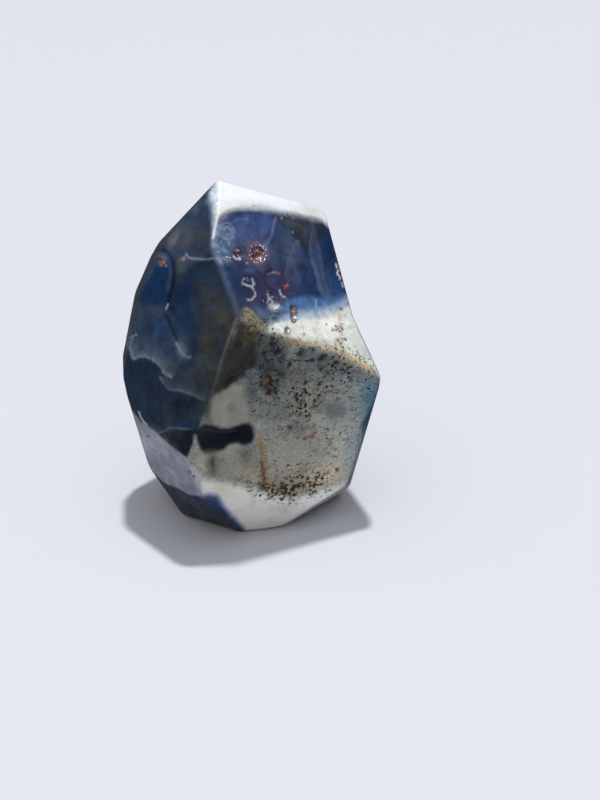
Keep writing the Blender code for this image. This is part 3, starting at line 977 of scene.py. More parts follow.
PORE_MARKS = (
    ("patch", 0.38, POROUS_FACE, 6),
    ("wash", 0.0, (225, 440), (36, 40), 0, 1.0),
    ("wash", 0.0, (232, 380), (20, 40), 30, 1.0),
    ("wash", 0.12, (295, 450), (34, 18), 0, 1.0),
    ("wash", 0.9, (340, 366), (34, 13), 30, 1.0),
    ("wash", 1.0, (305, 405), (18, 18), 15, 1.0),
    ("wash", 1.0, (320, 390), (17, 9), -20, 1.0),
    ("wash", 0.8, (266, 325), (10, 8), 30, 1.0),
    ("wash", 1.1, (280, 490), (24, 11), 6, 1.0),
    ("wash", 1.1, (306, 483), (22, 11), -14, 1.0),
    ("wash", 1.0, (281, 496), (25, 6), 4, 1.0),
    ("wash", 0.6, (262, 480), (6, 16), 0, 0.8),
    ("wash", 0.05, (336, 412), (10, 8), 0, 1.0),
    ("wash", 0.8, (341, 328), (4, 17), -4, 0.9),
    ("wash", 0.7, (362, 362), (18, 8), 38, 0.8),
)
pores = Layer(0.0)
pores.lay(PORE_MARKS)

RUST_MARKS = (
    ("wash", 1.0, (303, 410), (14, 14), 20),
    ("wash", 0.9, (320, 395), (14, 9), -25),
    ("wash", 0.7, (342, 366), (26, 12), 30),
    ("wash", 1.0, (288, 482), (34, 13), -5),
    ("wash", 0.8, (325, 474), (14, 12), -30),
    ("wash", 0.8, (263, 470), (5, 22)),
    ("wash", 0.7, (309, 437), (10, 6), -20),
    ("wash", 0.6, (270, 385), (10, 10)),
    ("wash", 0.9, (341, 328), (5, 18)),
    ("wash", 0.9, (281, 494), (26, 8), 4),
)
rust = Layer(0.0)
rust.lay(RUST_MARKS)

STAIN_MARKS = (
    ("patch", 0.9, DARK_STAIN, 16, 1.0, 5.0, True),
    ("wash", 0.75, (282, 362), (22, 22), 0, 0.9),
    ("patch", 0.8, LEFT_END, 6, 1.0, 3.0),
    ("wash", 0.8, (256, 336), (12, 6), 10, 0.9),
    ("wash", 0.6, (318, 360), (26, 10), 24, 0.8),
    ("patch", 0.35, UMBER_ZONE, 6),
)
stain = Layer(0.0)
stain.lay(STAIN_MARKS)

VEIL_MARKS = (
    ("patch", 0.5, LEFT_FACES, 4),
    ("patch", 0.6, BLUE_FACE, 4),
    ("patch", 0.35, JAW, 4),
    ("patch", 0.45, LOW_BAND, 4),
    ("patch", 0.12, CROWN, 5),
    ("patch", 0.15, BRIM, 5),
)
veil = Layer(0.0)
veil.lay(VEIL_MARKS)


# The sides and the back
# The photograph doesn't show them, so the layers that meet the outline are carried on round the stone: the
# white crown on top, banded blue agate, a cream belt level with the brim, and the porous ground below.
BACK_STARTS = 0.05
BACK_FULL = 0.42
LEFT_BORDER = (12, 17)
BELT = (39, 46.5)
BELT_LEAN = 0.16
BELT_FOOT = 42
BELT_SPREAD = 3.4
CLEAR_START = (47, 50)
CAP_FOOT = 77.5
CAP_LEAN = 0.12
CAP_AT_CROWN = 8
CAP_AT_BROW = 12
BRIM_ACROSS = (6, 30)
BRIM_DEEP = (-12, 32)
CROWN_ACROSS = (14, 24)
CROWN_DEEP = (8, 26)
BROW_ACROSS = (2, 12)
BROW_DEEP = (6, 24)
CHEEK_DEEP = -12.8
CHEEK_SLOPE = 0.18
CHEEK_FOOT = 7
CHEEK_TOP = 44
CHEEK_ROUND = (-11, -2)
CHEEK_ACROSS = (22, 27)
CHEEK_BLUE_HEIGHTS = (26, 43)
CHEEK_REFLECTION_BLUE = "#2b5f86"
LEFT_FOOT = (22, 25)
LAVENDER_BELT = (12, 23)
LOW_WHITE = (12, 17)
LOW_DARK = (9, 12)
CHEEK_CLOSED = 0.7
LEFT_UNBANDED = 0.7
SLOW_LUMP = 26.0
QUICK_LUMP = 6.0
FINE_LUMP = 1.8
BORDER_SWAY = (9, 3.5, 1.5)
HEIGHT_SWAY = (7, 2.2, 0.7)

slow = wavering(spots, SLOW_LUMP, 5.0)
quick = wavering(spots, QUICK_LUMP, 6.0)
fine = wavering(spots, FINE_LUMP, 7.0)
across, deep, height = (spots / MM).T


def swaying(axis, reaches):
    """A sway of large, middling and fine lumps together, each with its reach in millimetres."""
    return sum(reach * lumps[:, axis] for reach, lumps in zip(reaches, (slow, quick, fine)))


left_share = softened(swaying(0, BORDER_SWAY) - across, *LEFT_BORDER)
ragged_height = height + swaying(1, HEIGHT_SWAY)

# the belt widens towards the brim on the right, and the crown reaches lower there and over the brow
belt_height = ragged_height - BELT_LEAN * across
beside_brim = (softened(across + 3 * quick[:, 1], *BRIM_ACROSS)
               * (1 - softened(deep + 3 * quick[:, 2], *BRIM_DEEP)))
above_foot = np.maximum(belt_height - BELT_FOOT, 0)
belt_height = belt_height - above_foot * (1 - 1 / (1 + BELT_SPREAD * beside_brim))
beside_crown = (1 - softened(deep, *CROWN_DEEP)) * softened(across, *CROWN_ACROSS)
beside_brow = (1 - softened(deep, *BROW_DEEP)) * softened(-across, *BROW_ACROSS)
cap_height = (ragged_height + CAP_LEAN * across - CAP_FOOT - CAP_AT_CROWN * beside_crown
              - CAP_AT_BROW * beside_brow)
cheek_border = deep + CHEEK_SLOPE * (height - CHEEK_TOP) - CHEEK_DEEP


def between(value, low, high, soft):
    """1 where a value lies between two others, with soft ends."""
    return softened(value, low - soft, low + soft) * (1 - softened(value, high - soft, high + soft))


def coated(ground, coats):
    """A ground with coats laid over it. Each has a colour and a share for every point."""
    for code, share in coats:
        ground = ground + share[:, None] * (colour(code) - ground)
    return ground


def mottled(code, coats):
    """A ground of one colour with mottles over it, each a colour, a share and the lumps that it follows."""
    ground = np.tile(colour(code), (len(spots), 1))
    return coated(ground, [(tone, share * softened(lumps, *span)) for tone, share, lumps, span in coats])


# where each layer lies, from 0 to 1
clear = softened(belt_height, *CLEAR_START)
cheek = softened(-cheek_border - 5 * quick[:, 0] - 2 * fine[:, 1], *CHEEK_ROUND)
cheek *= softened(across, *CHEEK_ACROSS) * between(height + 3 * quick[:, 1], CHEEK_FOOT, CHEEK_TOP - 3, 3)
left_zone = left_share * softened(ragged_height, *LEFT_FOOT)
low_white = softened(-ragged_height, -LOW_WHITE[1], -LOW_WHITE[0])
low_mirrored_shadow = 1 - softened(ragged_height, *LOW_DARK)
cap = softened(cap_height, -1.5, 1.5)

back = mottled(PORE_GREY, (
    (PALE_GREY, 0.8, folds[:, 0] + slow[:, 0], (-0.4, 0.6)),
    (SAND, 0.6, slow[:, 1] + 0.6 * folds[:, 2], (0.0, 0.7)),
    (BLUE_GREY, 0.55, folds[:, 1] - slow[:, 2], (-0.1, 0.7)),
    (CREAM_GREY, 0.5, clouds[:, 0], (0.0, 0.5)),
))
clear_ground = mottled(BLUE, (
    (VIOLET_BLUE, 0.7, slow[:, 2] + 0.5 * folds[:, 0], (-0.2, 0.6)),
    (MILKY_BLUE, 0.55, folds[:, 2] - slow[:, 1], (-0.1, 0.7)),
    (LOW_NAVY, 0.85, slow[:, 1] + folds[:, 1], (0.0, 0.7)),
    (INDIGO, 0.7, slow[:, 0] - 0.5 * folds[:, 1], (0.1, 0.6)),
    (IRON_BLACK, 0.8, -slow[:, 2] + 0.4 * folds[:, 0], (0.2, 0.6)),
))
dark_left = mottled(NAVY, (
    (SLATE, 0.6, folds[:, 1] + slow[:, 0], (-0.3, 0.6)),
    (GREY_SLATE, 0.6, folds[:, 0] + slow[:, 1], (0.0, 0.8)),
    (BLACK_GREEN, 0.8, slow[:, 2] - folds[:, 2], (0.0, 0.7)),
    (OLIVE, 0.5, slow[:, 2] + 0.5 * folds[:, 2], (0.2, 0.7)),
))
back += clear[:, None] * (clear_ground - back)
back = coated(back, (
    (PALE_BLUE, 0.7 * between(belt_height, BELT[1], CLEAR_START[1], 2.2)),
    (BRIM_WHITE, between(belt_height, *BELT, 1.6)),
    (CREAM, 0.45 * between(belt_height, BELT[0] - 1.5, BELT[0] + 1, 2.2) * softened(folds[:, 2], -0.3, 0.5)),
    ("#7c8f9f", 0.85 * cheek),
    # the blue of the cheek's painted reflection, carried round the side as a band
    (CHEEK_REFLECTION_BLUE, 0.9 * cheek * between(height + 4 * quick[:, 2], *CHEEK_BLUE_HEIGHTS, 3)),
    ("#8c9ba6", 0.5 * cheek * softened(folds[:, 0], 0.0, 0.4)),
))
back += left_zone[:, None] * (dark_left - back)
back = coated(back, (
    (HEM, 0.3 * left_zone * between(folds[:, 1] + slow[:, 0], 0.1, 0.16, 0.06)),
    (LAVENDER, left_share * between(ragged_height, *LAVENDER_BELT, 1.6)),
    (CHIN_WHITE, (1 - left_share) * low_white),
    ("#b3ab9d", 0.5 * (1 - left_share) * low_white * softened(folds[:, 1] + 0.5 * fine[:, 0], 0.0, 0.5)),
    # painted shade: the low band's mirrored shadow, carried round the foot of the left side
    (MIRRORED_SHADOW_DARK, left_share * low_mirrored_shadow),
    ("#8f9dad", 0.7 * between(cap_height, -2.5, 0.0, 1.5)),
    (CROWN_WHITE, cap),
    ("#b4bac0", 0.5 * cap * softened(folds[:, 0], 0.05, 0.5)),
))

# the front's markings go over into the back's where the surface turns away from the camera
turned = softened(-facing, BACK_STARTS, BACK_FULL)
paint.values += turned[:, None] * (back - paint.values)
porous_back = (1 - clear) * (1 - left_share) * (1 - low_white) * (1 - CHEEK_CLOSED * cheek)
clear_back = np.maximum(clear * (1 - cap), left_zone)
for layer, behind in (
        (speckle, 0.2 + 0.75 * porous_back),
        (pores, porous_back * (0.3 + 0.7 * softened(quick[:, 2] + slow[:, 1], 0.0, 0.5))),
        (rust, porous_back * softened(slow[:, 1] + 0.5 * quick[:, 0], -0.1, 0.4)),
        (stain, 0.8 * porous_back * softened(slow[:, 0] + 0.5 * quick[:, 1], 0.1, 0.5)),
        (veil, 0.6 * clear_back + 0.12)):
    layer.values[:, 0] += turned * (behind - layer.values[:, 0])
banded = softened(slow[:, 0] + 0.5 * folds[:, 1], -0.4, 0.3)
bands = turned * clear * (1 - cap) * (1 - LEFT_UNBANDED * left_zone) * banded
layer_height = belt_height + 0.8 * folds[:, 0]


# The holes
# The open pores and pockets are real hollows in the mesh. They are found by looking out from each point at a
# low angle: where near walls stand all round, the point lies in a hole, and holes hold dirt, iron or quartz.
PIT_LOOKS = 8
PIT_REACH = 2.6
PIT_LIFT = 0.42
PIT_START = 0.02
PIT_DEPTHS = (0.2, 0.75)
POCKET_EDGE = 6
DIRT = ("#241811", 0.85)
POCKET_RED = ("#5a3b46", 0.5)


def hole_depth():
    """How far each point lies inside a hole: 0 on the open surface, 1 with walls all round."""
    walls = BVHTree.FromObject(stone, bpy.context.evaluated_depsgraph_get())
    depth = np.zeros(len(spots))
    for index in np.nonzero(turned < 1)[0]:
        out = Vector(spot_normals[index])
        side = out.orthogonal().normalized()
        other = out.cross(side)
        start = Vector(spots[index]) + out * PIT_START * MM
        for look in range(PIT_LOOKS):
            angle = 2 * math.pi * look / PIT_LOOKS
            way = (side * math.cos(angle) + other * math.sin(angle) + out * PIT_LIFT).normalized()
            if walls.ray_cast(start, way, PIT_REACH * MM)[0] is not None:
                depth[index] += 1 / PIT_LOOKS
    return depth


in_blue = Layer(0.0)
in_blue.patch(1.0, BLUE_FACE, POCKET_EDGE)
blue_share = in_blue.values[:, 0]
dirt = softened(hole_depth(), *PIT_DEPTHS)
paint.values = coated(paint.values, (
    (DIRT[0], DIRT[1] * ((1 - blue_share) * dirt)),
    (POCKET_RED[0], POCKET_RED[1] * (blue_share * dirt)),
))


# The polished agate
# Cut, ground and tumbled until it shines like glass. What was laid on gets its grain here: wisps in the clear
# parts, chalky speckle, and dark or rusty pores that stay dull, because polish can't reach into them.
AGATE_IOR = 1.54
POLISH = 0.11
DULL = 0.5
WISP_SIZE = 5.0
WISP_LIGHT = 3.2
LAYER_WIDTH = 2.6
LAYER_SWAY = 0.8
PALE_LAYER = 0.55
PALE_LAYER_TONE = "#8394b2"
DARK_LAYER = 0.7
DARK_LAYER_TONE = "#121a33"
PALE_LAYER_FULL = 0.68
DARK_LAYER_FULL = 0.34
SPECKLE_SIZE = 0.45
SPECKLE_LIGHT = 1.3
STAIN_SIZE = 2.2
STAIN_EDGE = 0.66
STAIN_SPREAD = 0.2
STAIN_SOFT = 0.07
STAIN_SPAN = (0.05, 0.4)
STAIN_STRENGTH = 0.82
STAIN_TONE = "#191e24"
# pores are drawn a little coarser than real ones, so that they show in the render
FLOW_LEAN = -35.0
FLOW_STRETCH = (0.55, 1.0, 1.25)
PORE_SIZE = 1.15
PORE_EDGE = 0.73
PORE_SPREAD = 0.165
PORE_SOFT = 0.03
PORE_STRENGTH = 0.93
PORE_TONE = "#1b1b1a"
CURL_SIZE = 1.7
CURL_GAP = 1.3
GAP_SPAN = (0.46, 0.53)
POROUS_SPAN = (0.05, 0.5)
CURL_WIDE = 0.045
CURL_NARROW = 0.015
CURL_STRENGTH = 0.7
PIT_GAP = 1.25
PIT_SPREAD = 0.7
PIT_LEAST = 0.1
PIT_WOBBLE = 0.9
PIT_SOFT = 0.04
RUST_SIZE = 2.2
RUST_SPAN = (0.36, 0.54)
RUST_HALO = 0.09
RUST_HALO_STRENGTH = 0.6
RUST_TONE = "#3d2210"
HALO_TONE = "#a67a45"
PORE_BUMP = 0.6
PORE_DEPTH = 0.12
MIDDLE = 0.5
SMOOTH = {"interpolation_type": "SMOOTHSTEP"}


def keep(name, values):
    """Stores an amount for every point of the stone, for the material to read."""
    store = stone.data.attributes.new(name, "FLOAT", "POINT")
    store.data.foreach_set("value", np.ravel(values).astype(np.float32))


def per_metre(size):
    """The scale of a pattern whose lumps have a size in millimetres."""
    return 1 / (size * MM)


def add_node(kind, inputs, output=0, **modes):
    """Adds one node with its modes, each input set or linked to another node's output. Gives one output."""
    made = tree.nodes.new("ShaderNode" + kind)
    for name, mode in modes.items():
        setattr(made, name, mode)
    for name, value in inputs.items():
        if isinstance(value, bpy.types.NodeSocket):
            tree.links.new(value, made.inputs[name])
        else:
            made.inputs[name].default_value = value
    return made.outputs[output]


amounts = {"speckle": speckle.values, "pores": pores.values, "rust": rust.values, "veil": veil.values,
           "stain": stain.values, "bands": bands, "layer": layer_height, "hole": dirt}
store = stone.data.attributes.new("paint", "FLOAT_COLOR", "POINT")
opaque = np.c_[np.clip(paint.values, 0, 1), np.ones(len(spots))]
store.data.foreach_set("color", opaque.astype(np.float32).ravel())
for name, values in amounts.items():
    keep(name, values)

agate = bpy.data.materials.new("polished_agate")
agate.use_nodes = True
tree = agate.node_tree
surface = tree.nodes["Principled BSDF"]
place = add_node("TexCoord", {}, "Object")
amount = {name: add_node("Attribute", {}, "Fac", attribute_name=name) for name in amounts}
shade = add_node("Attribute", {}, "Color", attribute_name="paint")

# wisps of veil make the clear agate lighter and darker
wisps = add_node("TexNoise", {"Vector": place, "Scale": per_metre(WISP_SIZE), "Detail": 6.0,
                              "Roughness": 0.62, "Distortion": 1.6})
wisp_swing = add_node("Math", {0: wisps, 1: MIDDLE}, operation="SUBTRACT")
wisp_light = add_node("Math", {0: wisp_swing, 1: amount["veil"]}, operation="MULTIPLY")
wisp_gain = add_node("Math", {0: wisp_light, 1: WISP_LIGHT, 2: 1.0}, operation="MULTIPLY_ADD")
shade = add_node("VectorMath", {0: shade, "Scale": wisp_gain}, operation="SCALE")

# level layers band the clear agate of the back, pale and dark
layer_sway = add_node("Math", {0: wisps, 1: LAYER_SWAY}, operation="MULTIPLY")
layer_count = add_node("Math", {0: amount["layer"], 1: LAYER_WIDTH}, operation="DIVIDE")
layer_place = add_node("Math", {0: layer_count, 1: layer_sway}, operation="ADD")
layers = add_node("TexNoise", {"W": layer_place, "Scale": 1.0, "Detail": 4.0, "Roughness": 0.7},
                  noise_dimensions="1D")
for tone, strength, full in ((PALE_LAYER_TONE, PALE_LAYER, PALE_LAYER_FULL),
                             (DARK_LAYER_TONE, DARK_LAYER, DARK_LAYER_FULL)):
    band = add_node("MapRange", {"Value": layers, "From Min": MIDDLE, "From Max": full, "To Max": strength},
                    **SMOOTH)
    layer_share = add_node("Math", {0: band, 1: amount["bands"]}, operation="MULTIPLY")
    shade = add_node("Mix", {"Factor": layer_share, 6: shade, 7: (*colour(tone), 1.0)}, 2, data_type="RGBA")

# chalky speckle in the white and porous agate
grain = add_node("TexNoise", {"Vector": place, "Scale": per_metre(SPECKLE_SIZE), "Detail": 2.0})
grain_swing = add_node("Math", {0: grain, 1: MIDDLE}, operation="SUBTRACT")
grain_light = add_node("Math", {0: grain_swing, 1: amount["speckle"]}, operation="MULTIPLY")
grain_gain = add_node("Math", {0: grain_light, 1: SPECKLE_LIGHT, 2: 1.0}, operation="MULTIPLY_ADD")
shade = add_node("VectorMath", {0: shade, "Scale": grain_gain}, operation="SCALE")

# dark staining that branches like moss
moss = add_node("TexNoise", {"Vector": place, "Scale": per_metre(STAIN_SIZE), "Detail": 5.0,
                             "Roughness": 0.62, "Distortion": 1.0})
stain_edge = add_node("Math", {0: amount["stain"], 1: -STAIN_SPREAD, 2: STAIN_EDGE}, operation="MULTIPLY_ADD")
stain_full = add_node("Math", {0: stain_edge, 1: STAIN_SOFT}, operation="ADD")
branches = add_node("MapRange", {"Value": moss, "From Min": stain_edge, "From Max": stain_full,
                                 "To Max": STAIN_STRENGTH}, **SMOOTH)
stained = add_node("MapRange", {"Value": amount["stain"], "From Min": STAIN_SPAN[0],
                                "From Max": STAIN_SPAN[1]}, **SMOOTH)
stain_share = add_node("Math", {0: branches, 1: stained}, operation="MULTIPLY")
shade = add_node("Mix", {"Factor": stain_share, 6: shade, 7: (*colour(STAIN_TONE), 1.0)}, 2, data_type="RGBA")

# open pores, stretched along the way that the layers run
flow = add_node("Mapping", {"Vector": place, "Rotation": (0.0, math.radians(FLOW_LEAN), 0.0),
                            "Scale": FLOW_STRETCH})
pore_noise = add_node("TexNoise", {"Vector": flow, "Scale": per_metre(PORE_SIZE), "Detail": 2.0,
                                   "Roughness": 0.6})
pore_edge = add_node("Math", {0: amount["pores"], 1: -PORE_SPREAD, 2: PORE_EDGE}, operation="MULTIPLY_ADD")
pore_full = add_node("Math", {0: pore_edge, 1: PORE_SOFT}, operation="ADD")
lumps = add_node("MapRange", {"Value": pore_noise, "From Min": pore_edge, "From Max": pore_full}, **SMOOTH)

# thin curls between the pores, broken by gaps
curl_noise = add_node("TexNoise", {"Vector": flow, "Scale": per_metre(CURL_SIZE), "Detail": 1.0,
                                   "Distortion": 0.6})
curl_swing = add_node("Math", {0: curl_noise, 1: MIDDLE}, operation="SUBTRACT")
curl_reach = add_node("Math", {0: curl_swing}, operation="ABSOLUTE")
curl = add_node("MapRange", {"Value": curl_reach, "From Min": CURL_WIDE, "From Max": CURL_NARROW,
                             "To Max": CURL_STRENGTH}, **SMOOTH)
gap_noise = add_node("TexNoise", {"Vector": place, "Scale": per_metre(CURL_GAP), "Detail": 0.0})
gaps = add_node("MapRange", {"Value": gap_noise, "From Min": GAP_SPAN[0], "From Max": GAP_SPAN[1]}, **SMOOTH)
open_curl = add_node("Math", {0: curl, 1: gaps}, operation="MULTIPLY")
porous = add_node("MapRange", {"Value": amount["pores"], "From Min": POROUS_SPAN[0],
                               "From Max": POROUS_SPAN[1]}, **SMOOTH)
curl_share = add_node("Math", {0: open_curl, 1: porous}, operation="MULTIPLY")
lumps_and_curls = add_node("Math", {0: lumps, 1: curl_share}, operation="MAXIMUM")

# round pits, each of its own size, with an uneven rim
cells = add_node("TexVoronoi", {"Vector": place, "Scale": per_metre(PIT_GAP), "Randomness": 1.0}, "Distance")
cell_size = add_node("SeparateColor", {"Color": cells.node.outputs["Color"]}, "Red")
pit_spread = add_node("Math", {0: amount["pores"], 1: PIT_SPREAD}, operation="MULTIPLY")
pit_size = add_node("Math", {0: pit_spread, 1: cell_size, 2: -PIT_LEAST}, operation="MULTIPLY_ADD")
rim_swing = add_node("Math", {0: pore_noise, 1: MIDDLE}, operation="SUBTRACT")
pit_reach = add_node("Math", {0: rim_swing, 1: PIT_WOBBLE, 2: cells}, operation="MULTIPLY_ADD")
past_pit = add_node("Math", {0: pit_reach, 1: pit_size}, operation="SUBTRACT")
pit = add_node("MapRange", {"Value": past_pit, "From Min": PIT_SOFT, "From Max": -PIT_SOFT}, **SMOOTH)
pore_share = add_node("Math", {0: lumps_and_curls, 1: pit}, operation="MAXIMUM")

# rust in the pores, and an ochre halo round them
rust_noise = add_node("TexNoise", {"Vector": place, "Scale": per_metre(RUST_SIZE), "Detail": 3.0})
rusty = add_node("MapRange", {"Value": rust_noise, "From Min": RUST_SPAN[0],
                              "From Max": RUST_SPAN[1]}, **SMOOTH)
rust_share = add_node("Math", {0: amount["rust"], 1: rusty}, operation="MULTIPLY")
pore_tone = add_node("Mix", {"Factor": rust_share, 6: (*colour(PORE_TONE), 1.0),
                             7: (*colour(RUST_TONE), 1.0)}, 2, data_type="RGBA")
halo_edge = add_node("Math", {0: pore_edge, 1: RUST_HALO}, operation="SUBTRACT")
halo = add_node("MapRange", {"Value": pore_noise, "From Min": halo_edge, "From Max": pore_edge,
                             "To Max": RUST_HALO_STRENGTH}, **SMOOTH)
halo_share = add_node("Math", {0: halo, 1: rust_share}, operation="MULTIPLY")
shade = add_node("Mix", {"Factor": halo_share, 6: shade, 7: (*colour(HALO_TONE), 1.0)}, 2, data_type="RGBA")
pore_cover = add_node("Math", {0: pore_share, 1: PORE_STRENGTH}, operation="MULTIPLY")
shade = add_node("Mix", {"Factor": pore_cover, 6: shade, 7: pore_tone}, 2, data_type="RGBA")

# pores and holes are dull, and pores lie a little deeper than the polished surface
dull = add_node("Math", {0: pore_share, 1: amount["hole"]}, operation="MAXIMUM")
roughness = add_node("MapRange", {"Value": dull, "To Min": POLISH, "To Max": DULL})
relief = add_node("Math", {0: 0.0, 1: pore_share}, operation="SUBTRACT")
bump = add_node("Bump", {"Height": relief, "Strength": PORE_BUMP, "Distance": PORE_DEPTH * MM})
tree.links.new(shade, surface.inputs["Base Color"])
tree.links.new(roughness, surface.inputs["Roughness"])
tree.links.new(bump, surface.inputs["Normal"])
surface.inputs["IOR"].default_value = AGATE_IOR
stone.data.materials.clear()
stone.data.materials.append(agate)


# The quartz crystals
# Where the agate never closed, small quartz crystals line the holes: white, pink, and red-brown where iron
# got in. The grinding cut them level with the polished face, so only their ends catch the light.
CRYSTAL_WIDTH = 0.36
CRYSTAL_LENGTH = 0.9
CRYSTAL_SIDES = 6
CRYSTAL_TIP = 0.4
FACES_UP = 0.9
QUARTZ_POLISH = 0.16
QUARTZ_IOR = 1.544
QUARTZ_TONES = (("white_quartz", "#eef0f5"), ("pink_quartz", "#d8a5b6"), ("red_quartz", "#953e58"),
                ("brown_quartz", "#523a38"))
DRUSE_MIX = (4, 5, 4, 3)
WHITE_MIX = (1, 0, 0, 0)
DRUSE_SIZES = (0.6, 1.3)
DRUSE_TILT = 0.7
DRUSE_SINK = 0.3
DRUSES = (
    ((258, 254), (8.8, 9.2), 130, DRUSE_MIX),
    ((237, 253), (2.8, 4.8), 14, DRUSE_MIX),
    ((294, 311), (2.0, 4.2), 8, DRUSE_MIX),
    ((294, 319), (1.8, 1.8), 5, DRUSE_MIX),
    ((286, 285), (2.0, 2.0), 6, DRUSE_MIX),
    ((275, 307), (4.0, 3.2), 14, WHITE_MIX),
    ((229, 257.5), (2.5, 1.0), 4, WHITE_MIX),
)
CURLS = (
    ((244, 284), (243, 280), (246, 278.5), (249, 281)),
    ((244, 283), (248, 286), (253, 285), (252, 279)),
    ((251, 286), (253, 290), (255, 295), (252, 300), (248, 300)),
    ((267.5, 292), (269, 298), (273, 302), (270, 306)),
    ((272.5, 296), (269, 299), (267.5, 303)),
    ((280, 289.5), (281, 294), (284.5, 297)),
    ((262, 300), (263, 303)),
    ((335.5, 264), (337, 267)),
    ((338, 270), (337, 273), (339, 276), (339, 279)),
    ((341, 283), (342, 287)),
    ((233.5, 256), (236, 258.8), (239.5, 257)),
)
CURL_STEP = 1.0
CURL_FILLED = 0.75
CURL_STRAY = 1.0
CURL_GRAIN = 0.84
CURL_SIZES = (0.5, 1.0)
CURL_TILT = 0.3
CURL_SINK = 0.42
LENGTHS = (0.7, 1.1)
GROWTH_SEED = 11


def one_crystal():
    """A short six-sided quartz crystal with a pointed end, standing on the origin."""
    nothing_selected()
    bpy.ops.mesh.primitive_cylinder_add(
        vertices=CRYSTAL_SIDES, radius=CRYSTAL_WIDTH / 2 * MM, depth=CRYSTAL_LENGTH * (1 - CRYSTAL_TIP) * MM,
        location=(0, 0, 0))
    crystal = bpy.context.object
    bpy.ops.object.mode_set(mode="EDIT")
    bpy.ops.mesh.select_mode(type="FACE")
    bpy.ops.mesh.select_all(action="DESELECT")
    bpy.ops.object.mode_set(mode="OBJECT")
    for face in crystal.data.polygons:
        face.select = face.normal.z > FACES_UP
    bpy.ops.object.mode_set(mode="EDIT")
    tip = (0, 0, CRYSTAL_LENGTH * CRYSTAL_TIP * MM)
    bpy.ops.mesh.extrude_region_move(TRANSFORM_OT_translate={"value": tip})
    bpy.ops.mesh.merge(type="CENTER")
    bpy.ops.object.mode_set(mode="OBJECT")
    return crystal


def quartz(name, tone):
    """Clear quartz with a tint, as it grew: its small flat faces are bright and catch the light."""
    made = bpy.data.materials.new(name)
    made.use_nodes = True
    look = made.node_tree.nodes["Principled BSDF"]
    look.inputs["Base Color"].default_value = (*colour(tone), 1.0)
    look.inputs["Roughness"].default_value = QUARTZ_POLISH
    look.inputs["IOR"].default_value = QUARTZ_IOR
    return made


def surface_seen(pixel):
    """The point of the stone that shows at a pixel of the photograph, and the way that its surface faces."""
    reach = PHOTO_HEIGHT * CAMERA_LENS / CAMERA_SENSOR
    way = Vector(((pixel[0] - PHOTO_WIDTH / 2) / reach, (PHOTO_HEIGHT / 2 - pixel[1]) / reach, -1.0))
    way = (camera.matrix_world.to_3x3() @ way).normalized()
    point, normal, _, _ = walls.ray_cast(camera.matrix_world.translation, way)
    return point, normal


def grow(pixel, kind, size, tilt, sink):
    """Grows one crystal out of the stone at a pixel of the photograph, tilted at random and sunk into it."""
    point, normal = surface_seen(pixel)
    lean = Vector([chance.uniform(-tilt, tilt) for _ in range(3)])
    turn = (normal + lean).to_track_quat("Z", "Y").to_matrix().to_4x4()
    crystal = pattern.copy()
    crystal.data = pattern.data.copy()
    crystal.data.materials.append(quartzes[kind])
    crystal.data.transform(
        Matrix.Translation(point) @ turn @ Matrix.Rotation(chance.uniform(0, 1), 4, "Z")
        @ Matrix.Diagonal((size, size, size * chance.uniform(*LENGTHS), 1.0))
        @ Matrix.Translation((0, 0, -sink * CRYSTAL_LENGTH * MM)))
    bpy.context.scene.collection.objects.link(crystal)
    grown[kind].append(crystal)


chance = random.Random(GROWTH_SEED)
walls = BVHTree.FromObject(stone, bpy.context.evaluated_depsgraph_get())
pattern = one_crystal()
quartzes = [quartz(name, tone) for name, tone in QUARTZ_TONES]
grown = [[] for _ in quartzes]
for centre, size, count, mix in DRUSES:
    for _ in range(count):
        angle = chance.uniform(0, 2 * math.pi)
        out = math.sqrt(chance.random())
        pixel = (centre[0] + size[0] * out * math.cos(angle), centre[1] + size[1] * out * math.sin(angle))
        kind = chance.choices(range(len(quartzes)), mix)[0]
        grow(pixel, kind, chance.uniform(*DRUSE_SIZES), DRUSE_TILT, DRUSE_SINK)
for line in CURLS:
    course = rounded(line, False)
    along = np.r_[0, np.cumsum(np.linalg.norm(np.diff(course, axis=0), axis=1))]
    for reach in np.arange(0, along[-1], CURL_STEP):
        if chance.random() < CURL_FILLED:
            pixel = [np.interp(reach, along, course[:, axis]) + chance.uniform(-CURL_STRAY, CURL_STRAY)
                     for axis in (0, 1)]
            grow(pixel, 0, chance.uniform(*CURL_SIZES) * CURL_GRAIN, CURL_TILT, CURL_SINK)
bpy.data.objects.remove(pattern)
for (name, _), crystals in zip(QUARTZ_TONES, grown):
    nothing_selected()
    for crystal in crystals:
        crystal.select_set(True)
    bpy.context.view_layer.objects.active = crystals[0]
    bpy.ops.object.join()
    crystals[0].name = name + "_crystals"
    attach(crystals[0], "root")


# The floor
# A plain pale floor of matt paint, large enough to fill the view. It gives an even ground with no mirror in
# it, and the stone doesn't mirror it either, so that the low faces stay as deep in colour as they are.
FLOOR_SIZE = 12.0
FLOOR_TONE = "#b9bbc4"
FLOOR_ROUGHNESS = 0.8

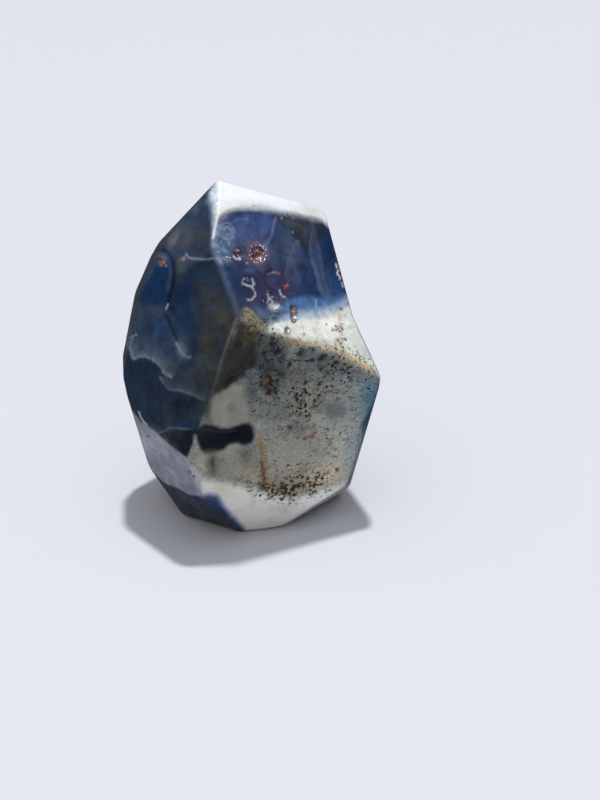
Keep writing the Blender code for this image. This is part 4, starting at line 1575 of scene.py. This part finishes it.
nothing_selected()
bpy.ops.mesh.primitive_plane_add(size=FLOOR_SIZE, location=(0, 0, 0))
floor = bpy.context.object
floor.name = "floor"
pale = bpy.data.materials.new("pale_floor")
pale.use_nodes = True
floor_surface = pale.node_tree.nodes["Principled BSDF"]
floor_surface.inputs["Base Color"].default_value = (*colour(FLOOR_TONE), 1.0)
floor_surface.inputs["Roughness"].default_value = FLOOR_ROUGHNESS
floor.data.materials.append(pale)
floor.visible_glossy = False


# The light
# One soft lamp high overhead and a little behind, as in the photograph, and an even fill that comes mostly
# from above, so that the polished sides mirror a dim room and stay as deep in colour as they are.
LAMP_STRENGTH = 2.95
LAMP_LEAN = 7.0
LAMP_SIDE = 4.0
LAMP_SOFTNESS = 4.0
FILL_ABOVE = 1.25
FILL_BELOW = 0.05
FILL_FROM = (-0.15, -0.25, 0.957)
FILL_STARTS = 0.4
FILL_FULL = 0.95
WALL_TONE = 0.72

lamp_data = bpy.data.lights.new("overhead_lamp", "SUN")
lamp_data.angle = math.radians(LAMP_SOFTNESS)
lamp_data.energy = LAMP_STRENGTH
lamp = bpy.data.objects.new("overhead_lamp", lamp_data)
bpy.context.scene.collection.objects.link(lamp)
lamp.rotation_euler = (math.radians(-LAMP_LEAN), math.radians(LAMP_SIDE), 0.0)

world = bpy.data.worlds.new("studio")
world.use_nodes = True
bpy.context.scene.world = world
tree = world.node_tree
way = add_node("TexCoord", {}, "Generated")
towards = add_node("VectorMath", {0: way, 1: FILL_FROM}, "Value", operation="DOT_PRODUCT")
fill = add_node("MapRange", {"Value": towards, "From Min": FILL_STARTS, "From Max": FILL_FULL,
                             "To Min": FILL_BELOW, "To Max": FILL_ABOVE}, **SMOOTH)
seen_straight = add_node("LightPath", {}, "Is Camera Ray")
strength = add_node("Mix", {"Factor": seen_straight, "A": fill, "B": WALL_TONE})
tree.links.new(strength, tree.nodes["Background"].inputs["Strength"])
tree.nodes["Background"].inputs["Color"].default_value = (1, 1, 1, 1)
bpy.context.scene.view_settings.view_transform = "Standard"
